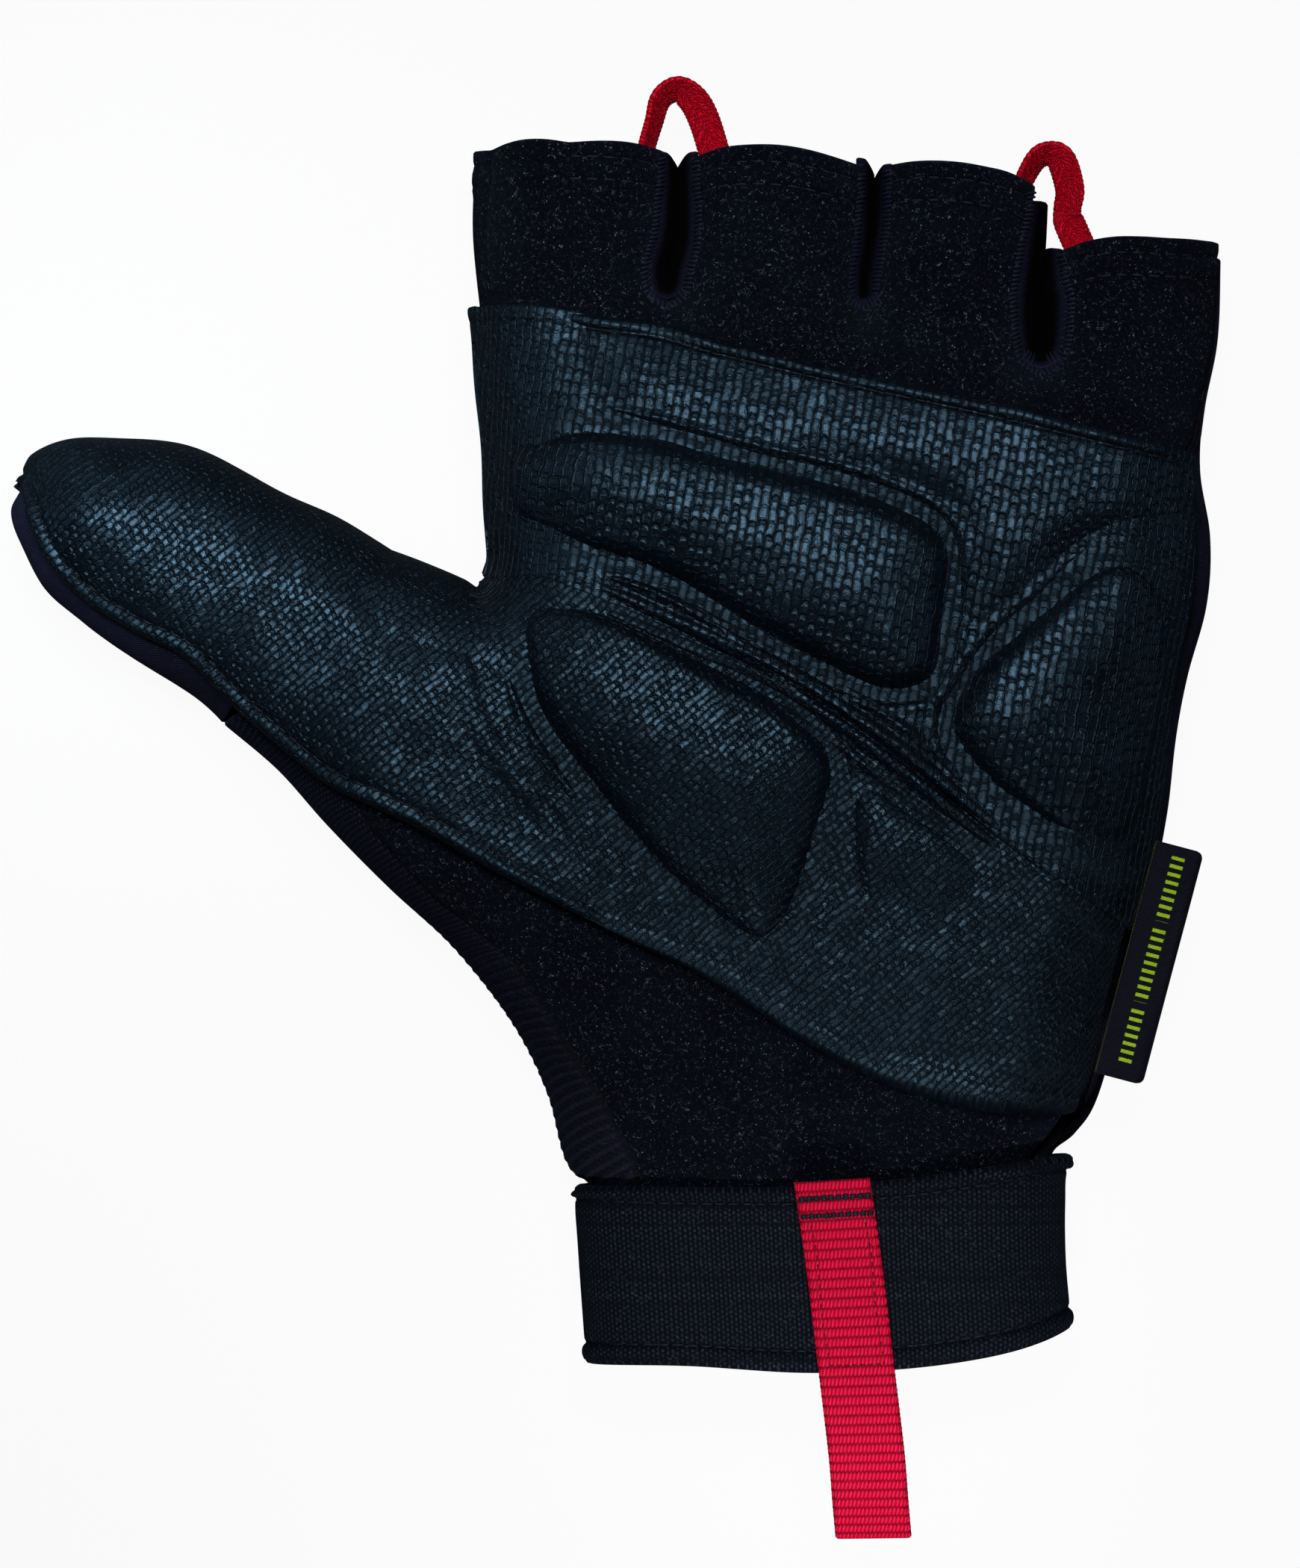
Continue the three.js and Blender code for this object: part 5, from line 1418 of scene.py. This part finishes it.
def cuff_sheet():
    angle = math.tau * np.arange(CUFF_COLUMNS) / CUFF_COLUMNS
    across = (1 - np.cos(angle)) / 2
    share = dense_at(56, (0, 0.09, 2.2), (0.88, 1, 2.2))
    guess = mix(-3, 61, across)
    top = np.interp(guess, cuff_top[:, 0], cuff_top[:, 1])
    bottom = np.interp(guess, cuff_bottom[:, 0], cuff_bottom[:, 1])
    y = mix(top[:, None], bottom[:, None], share[None])
    left, right = x_on(wrist_edge, y), x_on(little_side.line, y)
    x = mix(left, right, across[:, None])
    xy = np.stack([x, y], -1)
    points, normals = np.empty((*xy.shape[:2], 3)), np.empty((*xy.shape[:2], 3))
    for i in range(CUFF_COLUMNS):
        sheet = 0 if i % (CUFF_COLUMNS // 2) == 0 else 1 if i < CUFF_COLUMNS // 2 else -1
        points[i], normals[i], _ = skin(xy[i], sheet)
    uv = np.stack([np.broadcast_to(run_along(points[:, 20])[:, None], y.shape), y], -1)
    return points, normals, uv, share


cuff_points, cuff_normals, cuff_uv, cuff_share = cuff_sheet()
piping = np.zeros_like(cuff_share)
for start, end in CUFF_PIPING:
    within = np.clip((cuff_share - start) / (end - start), 0, 1)
    piping = np.maximum(piping, np.sin(math.pi * within)**0.6 * 0.45)
cuff_seam = np.min([np.abs(cuff_share - seam) * CUFF_DEPTH for seam in CUFF_SEAMS], axis=0)
piping -= 0.22 * np.exp(-(cuff_seam / 0.35)**2)
waves = 0.18 * np.sin(cuff_uv[..., 0] / 7.5) * np.sin(math.pi * cuff_share)[None]
cuff_lift = (piping[None] + waves).ravel()
cuff_quads = grid_quads(CUFF_COLUMNS, len(cuff_share) - 1, ring=True)
cuff = cloth_wall("cuff_elastic", cuff_points.reshape(-1, 3), cuff_normals.reshape(-1, 3), cuff_quads, GAP,
                  GAP + KNIT, cuff_uv.reshape(-1, 2), cuff_lift,
                  {"seam": np.broadcast_to(cuff_seam, cuff_points.shape[:2]).ravel()})


def elastic_knit():
    material, tree, bsdf, place, cloth = start_material(
        "knitted elastic", 0.8, Specular_IOR_Level=0.06, Sheen_Weight=0.01, Sheen_Tint=(0.4, 0.65, 1, 1))
    knit = place_group(tree, knit_ribs, Cloth=cloth, Pitch=0.62, Loop=0.72, Wander=0.12)
    bands = noise(tree, vector(tree, 0, parts_of(tree, cloth)[1]), 0.9, 1.0)
    lint = place_group(tree, lint_on_cloth, Place=place, Speck_Size=0.07, Spacing=1.1)["Lint"]
    dip = place_group(tree, stitched_dip, Seam=field(tree, "seam"), Width=0.4)["Dip"]
    # Painted shade: the loop tops are lighter than the hollows between them, in bands that vary at random,
    # and the cloth is darker in the seam grooves.
    shade = knit["Loop shade"] * bands.between(0.2, 0.8)
    ground = colours(tree, shade, (0.0014, 0.0022, 0.0045), (0.026, 0.035, 0.055))
    ground = colours(tree, dip * 0.8, ground, (0.0009, 0.0011, 0.0018))
    join(tree, colours(tree, lint * 0.35, ground, (0.2, 0.23, 0.28)), bsdf.inputs["Base Color"])
    join(tree, bump(tree, knit["Height"], 0.12), bsdf.inputs["Normal"])
    return material


cuff.data.materials.append(elastic_knit())
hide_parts("cuff")
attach(cuff, "root")


def cuff_surface(xy):
    points, normals, _ = skin(xy, 1)
    return points + normals * (GAP + KNIT - 0.08), normals


cuff_x = np.linspace(0.5, 58.5, 80)
cuff_rows = []
for share in CUFF_SEAMS:
    row_y = mix(np.interp(cuff_x, cuff_top[:, 0], cuff_top[:, 1]),
                np.interp(cuff_x, cuff_bottom[:, 0], cuff_bottom[:, 1]), share)
    cuff_rows.append(stitch_row(np.column_stack([cuff_x, row_y]), cuff_surface, 1.9, 0.72))
sew("cuff_stitches", cuff_rows, black_thread, 0.13)


# The pull tab
# Red grosgrain webbing, doubled, sewn over the cuff with a box of stitches under two bars of black thread.
# Its folded end hangs free past the cuff.
TAB_PATH = [(29.8, -51.3, 0), (31.6, -64, 0), (33.2, -77.5, 0), (34, -84, 0.6), (34.7, -90, 2),
            (35.2, -96, 4.2), (35.6, -100.2, 6.4)]
TAB_STEP = 0.13
TAB_FACE = 50
TAPE = 1.0
TAB_WIDTH = 10.4
TAB_SPREAD = TAPE + GAP
TAB_RIB = 1.36
TAB_BARS = (-53.7, -56.2)
TAB_BOX = 0.72
TAB_BOX_END = -76.8
CUFF_HEIGHT = WRIST_BODY[0] + WRIST_BODY[1] + GAP + KNIT + 0.4


def tube_quads(rings, count):
    """Quads between rings of points, each ring closed."""
    i, k = np.meshgrid(np.arange(rings - 1), np.arange(count), indexing="ij")
    a, b = i * count + k, i * count + (k + 1) % count
    return np.stack([a, b, b + count, a + count], -1).reshape(-1, 4)


def tape(name, path, sides, width, thickness, rib, rib_height, selvage):
    """Woven tape along a path: a flat section with rounded selvages, raised in ribs across its width."""
    ahead, sides = unit(np.gradient(path, axis=0)), unit(sides)
    up = unit(np.cross(sides, ahead))
    run = run_along(path)
    half, thick = width / 2, thickness / 2
    flat = np.linspace(-1, 1, 13) * (half - thick)
    turn = np.linspace(0, math.pi, 6)[1:-1]
    section = [(x, thick, 0, 1, x) for x in flat]
    section += [(half - thick + thick * math.sin(a), thick * math.cos(a), math.sin(a), math.cos(a), half)
                for a in turn]
    section += [(x, -thick, 0, -1, x) for x in flat[::-1]]
    section += [(-half + thick - thick * math.sin(a), -thick * math.cos(a), -math.sin(a), -math.cos(a), -half)
                for a in turn]
    section = np.array(section)
    wave = np.abs(np.sin(run * math.pi / rib))**0.75
    rounded = np.abs(section[:, 2])
    lift = wave[:, None] * (rib_height * (1 - rounded) + selvage * rounded)[None] - rib_height
    x = section[None, :, 0] + section[None, :, 2] * lift
    z = section[None, :, 1] + section[None, :, 3] * lift
    positions = path[:, None] + sides[:, None] * x[..., None] + up[:, None] * z[..., None]
    count, rings = len(section), len(path)
    ends = [list(range(count - 1, -1, -1)), list(range((rings - 1) * count, rings * count))]
    faces = tube_quads(rings, count).tolist() + ends
    uv = np.column_stack([np.tile(section[:, 4], rings), np.repeat(run, count)])
    return as_object(name, positions.reshape(-1, 3), faces, uv, {"rib": np.repeat(wave, count)})


def tab_path():
    lower = CUFF_HEIGHT + GAP + TAPE / 2
    line = curve_through([(x, y, lower - drop) for x, y, drop in TAB_PATH], steps=24)
    ahead = line[-1] - line[-2]
    ahead /= np.linalg.norm(ahead)
    front = line + (0, 0, TAB_SPREAD)
    middle = (front[-1] + line[-1]) / 2
    arc = [middle + ahead * TAB_SPREAD / 2 * math.sin(a) + np.array([0, 0, TAB_SPREAD / 2]) * math.cos(a)
           for a in np.linspace(0, math.pi, 9)[1:-1]]
    return evenly(np.vstack([front, arc, line[::-1]]), TAB_STEP)[0]


tab_line = tab_path()
tab_side = np.column_stack([np.ones(len(tab_line)), mix(0.012, 0.06, smooth((tab_line[:, 1] + 98) / 45)),
                            np.zeros(len(tab_line))])
pull_tab = tape("tab_webbing", tab_line, tab_side, TAB_WIDTH, TAPE, TAB_RIB, 0.17, 0.3)


def red_webbing(name, dark, light, herringbone=False):
    material, tree, bsdf, place, cloth = start_material(
        name, 0.42, Specular_IOR_Level=0.4, Specular_Tint=(1, 0.1, 0.3, 1), Sheen_Weight=0.04,
        Sheen_Roughness=0.4, Sheen_Tint=(1, 0.1, 0.3, 1))
    u, v, _ = parts_of(tree, cloth)
    # Painted shade: the tape is lighter on its raised wales, ribs and warp yarns and darker in the grooves
    # between them.
    if herringbone:
        stray = noise(tree, cloth, 1.1, 2.0)
        slanted = vector(tree, v - abs(u + (stray - 0.5) * 1.6) * 1.3, u, 0.0)
        weave = place_group(tree, twill_weave, Cloth=slanted, Wale=0.5, Lean=0.0, Slub=0.5)
        filaments = noise(tree, slanted, 5.0, 2.0)
        share = weave["Wale shade"] * (filaments * 0.8 + 0.45)
        relief = bump(tree, weave["Height"] + filaments * 0.5, 0.2)
    else:
        filaments = noise(tree, vector(tree, u * 2.2, v * 7.0), 1.0, 2.0)
        row = (v / TAB_RIB).math("FLOOR")
        warp = ((u + v * 0.25) / 0.54 + row * 0.5).fold() * 2.0
        yarns = warp.between(0.0, 0.7)
        share = field(tree, "rib").between(0.1, 0.9) * (filaments * 0.5 + 0.55) * (yarns * 0.55 + 0.45)
        relief = bump(tree, yarns + filaments * 0.5, 0.16)
    worn = noise(tree, place, 0.25, 2.0)
    ground = colours(tree, share, dark, light)
    ground = colours(tree, worn * 0.2, ground, tuple(c * 0.55 for c in light))
    join(tree, ground, bsdf.inputs["Base Color"])
    join(tree, relief, bsdf.inputs["Normal"])
    return material


pull_tab.data.materials.append(red_webbing("red webbing", (0.24, 0.0012, 0.009), (0.97, 0.009, 0.062)))
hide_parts("pull_tab")
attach(pull_tab, "root")

tab_top = tab_line[:int(TAB_FACE / TAB_STEP)]


def across_tab(y, shares):
    """Points on the face of the tab at one distance down it, from its left edge, -1, to its right, 1."""
    k = np.abs(tab_top[:, 1] - y).argmin()
    return tab_top[k] + np.outer(shares, tab_side[k] * TAB_WIDTH / 2) + (0, 0, TAPE / 2)


tab_bars = []
for y in TAB_BARS:
    for step, wobble in ((0, 0.06), (0.3, -0.05)):
        bar = across_tab(y, np.linspace(-0.97, 0.97, 11)) + (0, step, 0.02)
        bar[:, 1] += wobble * np.cos(np.arange(11) * 2.4)
        tab_bars.append((bar[:-1], mix(bar[:-1], bar[1:], 1.04), np.tile((0, 0, 1.0), (10, 1))))
sew("tab_bars", tab_bars, black_thread, 0.24)

box_rows = []
for share in (-TAB_BOX, TAB_BOX):
    places = np.arange(TAB_BARS[-1] - 1, TAB_BOX_END, -TAB_RIB)
    starts = np.vstack([across_tab(y, [share + 0.03 * math.sin(y * 5)]) for y in places])
    box_rows.append((starts, starts + (0.05, -0.75, 0.0), np.tile((0, 0, 1.0), (len(starts), 1))))
foot = across_tab(TAB_BOX_END, np.linspace(-TAB_BOX, TAB_BOX, 8))
box_rows.append((foot[:-1], mix(foot[:-1], foot[1:], 0.7), np.tile((0, 0, 1.0), (7, 1))))
wine_thread = thread("wine thread", (0.09, 0.001, 0.004), 0.3)
sew("tab_box_stitches", box_rows, wine_thread, 0.13)


# The two finger loops
# Red braided tape, 4.4 mm wide, sewn under the hems of the first and third stubs. Each starts on edge and
# turns to lie flat on the hem.
LOOP_WIDTH = 4.4
LOOPS = (
    [(3.6, 87.5, 13.4, 64), (4.1, 91.5, 13.6, 64), (5.2, 95.4, 14.2, 62), (6.1, 98.4, 14.8, 54),
     (8.1, 99.9, 15.4, 42), (10.5, 98.7, 15.6, 22), (12, 96.2, 15.2, 8), (13.1, 93, 14.7, 0),
     (14.4, 88.4, 14.5, 0)],
    [(55.2, 82, 13.2, 60), (56.2, 86, 13.6, 60), (57.8, 89.4, 14.4, 56), (60.2, 90.9, 15.2, 40),
     (62.2, 89.3, 15.6, 26), (63, 86.2, 15.4, 28), (62.7, 83.4, 15, 34), (63.6, 80, 14.8, 8),
     (66.2, 74.4, 14.5, 0)],
)
red_braid = red_webbing("red braid", (0.24, 0.0008, 0.004), (0.98, 0.005, 0.024), herringbone=True)
for number, rows in enumerate(LOOPS, 1):
    line = evenly(curve_through(rows), 0.14)[0]
    path, turn = line[:, :3], np.radians(line[:, 3])
    ahead = np.gradient(path, axis=0)
    flat = unit(np.column_stack([-ahead[:, 1], ahead[:, 0], np.zeros(len(path))]))
    sides = flat * np.cos(turn)[:, None] + np.array([0, 0, 1]) * np.sin(turn)[:, None]
    ahead = unit(ahead)
    sides -= ahead * (sides * ahead).sum(1, keepdims=True)
    loop = tape(f"finger_tape_{number}", path, sides, LOOP_WIDTH, TAPE, 0.62, 0.05, 0.1)
    loop.data.materials.append(red_braid)
    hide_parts(f"finger_loop_{number}")
    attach(loop, "root")


# The side label
# A navy woven ribbon folded over along its outer edge, its two layers sewn into the side seam. Plain dashes
# of lime yarn stand where such a ribbon has its woven line.
LABEL_TOP = (75.6, -4.6)
LABEL_BOTTOM = (67.1, -36.7)
LABEL_REACH = 5.9
LABEL_HEIGHT = 22.8
LABEL_LAYER = 0.8
LABEL_OPENING = 1.4
LABEL_STATIONS = 190


def label_ribbon():
    outer, inner = LABEL_OPENING / 2 + LABEL_LAYER, LABEL_OPENING / 2
    straight = LABEL_REACH - outer
    turn = np.linspace(math.pi / 2, -math.pi / 2, 13)
    flat = np.linspace(-0.9, straight, 15)
    section = [(x, outer, x, 1) for x in flat]
    section += [(straight + outer * math.cos(a), outer * math.sin(a), straight + outer * (math.pi / 2 - a), 1)
                for a in turn[1:-1]]
    section += [(x, -outer, 2 * straight + outer * math.pi - x, 1) for x in flat[::-1]]
    section += [(x, -inner, x, 0) for x in flat]
    section += [(straight + inner * math.cos(a), inner * math.sin(a), straight, 0) for a in turn[::-1][1:-1]]
    section += [(x, inner, x, 0) for x in flat[::-1]]
    section = np.array(section)
    along = np.array(LABEL_BOTTOM) - LABEL_TOP
    length = np.linalg.norm(along)
    along = np.array([*(along / length), 0])
    up = np.array([0, 0, 1.0])
    out = np.cross(up, along)
    run = np.linspace(0, length, LABEL_STATIONS + 1)
    sag = 0.25 * np.sin(run / length * math.pi * 2.3 + 0.6) * smooth(run / 8)
    open_up = 1 + 0.5 * smooth((run - length + 9) / 9)
    from_end = np.clip(np.minimum(run, length - run) / 1.1, 0, 1)
    reach = 1 - 0.16 * (1 - np.sqrt(1 - (1 - from_end)**2))
    rise = section[None, :, 1:2] * open_up[:, None, None] + sag[:, None, None]
    positions = (np.array([*LABEL_TOP, LABEL_HEIGHT]) + run[:, None, None] * along
                 + section[None, :, :1] * reach[:, None, None] * out + rise * up)
    count, rings = len(section), len(run)
    quads = tube_quads(rings, count)[:, [0, 3, 2, 1]].tolist()
    half = count // 2
    for ring, flip in ((0, False), (rings - 1, True)):
        for k in range(half - 1):
            face = [ring * count + v for v in (k, k + 1, count - 2 - k, count - 1 - k)]
            quads.append(face[::-1] if flip else face)
    uv = np.column_stack([np.tile(section[:, 2], rings), np.repeat(run, count)])
    return as_object("label_ribbon", positions.reshape(-1, 3), quads, uv,
                     {"face": np.tile(section[:, 3], rings)})


def woven_label():
    material, tree, bsdf, _, cloth = start_material(
        "woven label", 0.6, Specular_IOR_Level=0.15, Sheen_Weight=0.02, Sheen_Tint=(0.6, 0.65, 1, 1))
    u, v, _ = parts_of(tree, cloth)
    weave = place_group(tree, twill_weave, Cloth=cloth, Wale=0.42, Lean=1.0, Slub=0.12)
    dash = (v / 1.15).fold().between(0.26, 0.31)
    group = ((v + 0.4) / 11.5).fold().between(0.03, 0.04)
    row = abs(u - 2.6).between(0.98, 0.84) * dash * group * v.between(1.4, 1.6) * v.between(31.2, 31.0)
    # Painted shade: the navy face, the inner layer and the lime dashes are lighter on the wale ridges than in
    # the grooves between them.
    lime = row * field(tree, "face") * (weave["Wale shade"] * 0.5 + 0.6)
    navy = colours(tree, weave["Wale shade"], (0.001, 0.001, 0.003), (0.005, 0.0055, 0.017))
    inside = colours(tree, weave["Wale shade"], (0.035, 0.04, 0.003), (0.2, 0.22, 0.02))
    ground = colours(tree, field(tree, "face"), inside, navy)
    join(tree, colours(tree, lime, ground, (0.5, 0.78, 0.02)), bsdf.inputs["Base Color"])
    join(tree, bump(tree, weave["Height"], 0.1), bsdf.inputs["Normal"])
    return material


label = label_ribbon()
label.data.materials.append(woven_label())
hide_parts("label_loop")
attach(label, "root")


# The table, the light and the camera
# The glove lies on a plain white table under a soft light above the fingers, with weaker ones round it, and
# is seen from straight above.
TABLE_GLOW = 0.004
bpy.ops.mesh.primitive_plane_add(size=3, location=(0, 0, -0.0004))
table = bpy.context.object
table.name = "table_top"
white, tree, bsdf, place, _ = start_material(
    "white table", 0.7, Specular_IOR_Level=0.1, Emission_Strength=0.938)
seen = Value(tree, node(tree, "ShaderNodeLightPath").outputs["Is Camera Ray"])
join(tree, colours(tree, seen, (TABLE_GLOW,) * 3, (1, 1, 1)), bsdf.inputs["Emission Color"])
paper = noise(tree, place, 0.6, 2.0)
join(tree, colours(tree, paper, (0.03, 0.03, 0.03), (0.035, 0.035, 0.035)), bsdf.inputs["Base Color"])
table.data.materials.append(white)

# Each softbox: its name, place, aim, size, power, colour and spread in degrees
SOFTBOXES = (
    ("key_softbox", (0.02, 0.19, 0.49), (0.01, 0.045, 0), (0.22, 0.16), 0.14, (0.98, 0.99, 1), 42),
    ("thumb_softbox", (-0.13, 0.12, 0.36), (-0.09, 0.05, 0.015), (0.08, 0.06), 0.035, (0.85, 0.95, 1), 30),
    ("top_softbox", (-0.1, 0.75, 0.38), (0, 0, 0.01), (0.6, 0.3), 0.45, (0.7, 0.85, 1), 180),
    ("left_softbox", (-0.9, 0.2, 0.3), (0, 0, 0.01), (0.5, 0.4), 0.6, (0.6, 0.8, 1), 180),
    ("right_softbox", (0.9, 0.15, 0.3), (0, 0, 0.01), (0.5, 0.4), 0.3, (0.6, 0.8, 1), 180),
    ("low_softbox", (0.04, -0.26, 0.26), (0.033, -0.09, 0.01), (0.1, 0.06), 0.036, (1, 1, 1), 30),
)
for name, spot, aim, size, power, colour, spread in SOFTBOXES:
    lamp = bpy.data.lights.new(name, "AREA")
    lamp.shape, lamp.size, lamp.size_y = "RECTANGLE", *size
    lamp.energy, lamp.color, lamp.spread = power, colour, math.radians(spread)
    box = bpy.data.objects.new(name, lamp)
    box.location = spot
    box.rotation_euler = (Vector(aim) - Vector(spot)).to_track_quat("-Z", "Y").to_euler()
    bpy.context.scene.collection.objects.link(box)

world = bpy.data.worlds.new("studio")
world.use_nodes = True
world.node_tree.nodes["Background"].inputs["Color"].default_value = (0.9, 0.95, 1, 1)
world.node_tree.nodes["Background"].inputs["Strength"].default_value = 0.01
bpy.context.scene.world = world
bpy.context.scene.view_settings.view_transform = "Standard"

PHOTO_MM = 0.104
PHOTO_SIZE = (1741, 2100)
GLOVE_ZERO = (825.5, 1083)
VIEW_HEIGHT = 12.0
CAMERA_MM = 1600.0
camera_data = bpy.data.cameras.new("camera")
camera_data.sensor_width = 36
camera_data.lens = 36 * (CAMERA_MM - VIEW_HEIGHT) / (PHOTO_SIZE[1] * PHOTO_MM)
camera_data.clip_end = 10
camera = bpy.data.objects.new("camera", camera_data)
camera.location = ((PHOTO_SIZE[0] / 2 - GLOVE_ZERO[0]) * PHOTO_MM * MM - CENTRE[0] * MM,
                   (GLOVE_ZERO[1] - PHOTO_SIZE[1] / 2) * PHOTO_MM * MM - CENTRE[1] * MM, CAMERA_MM * MM)
bpy.context.scene.collection.objects.link(camera)
bpy.context.scene.camera = camera
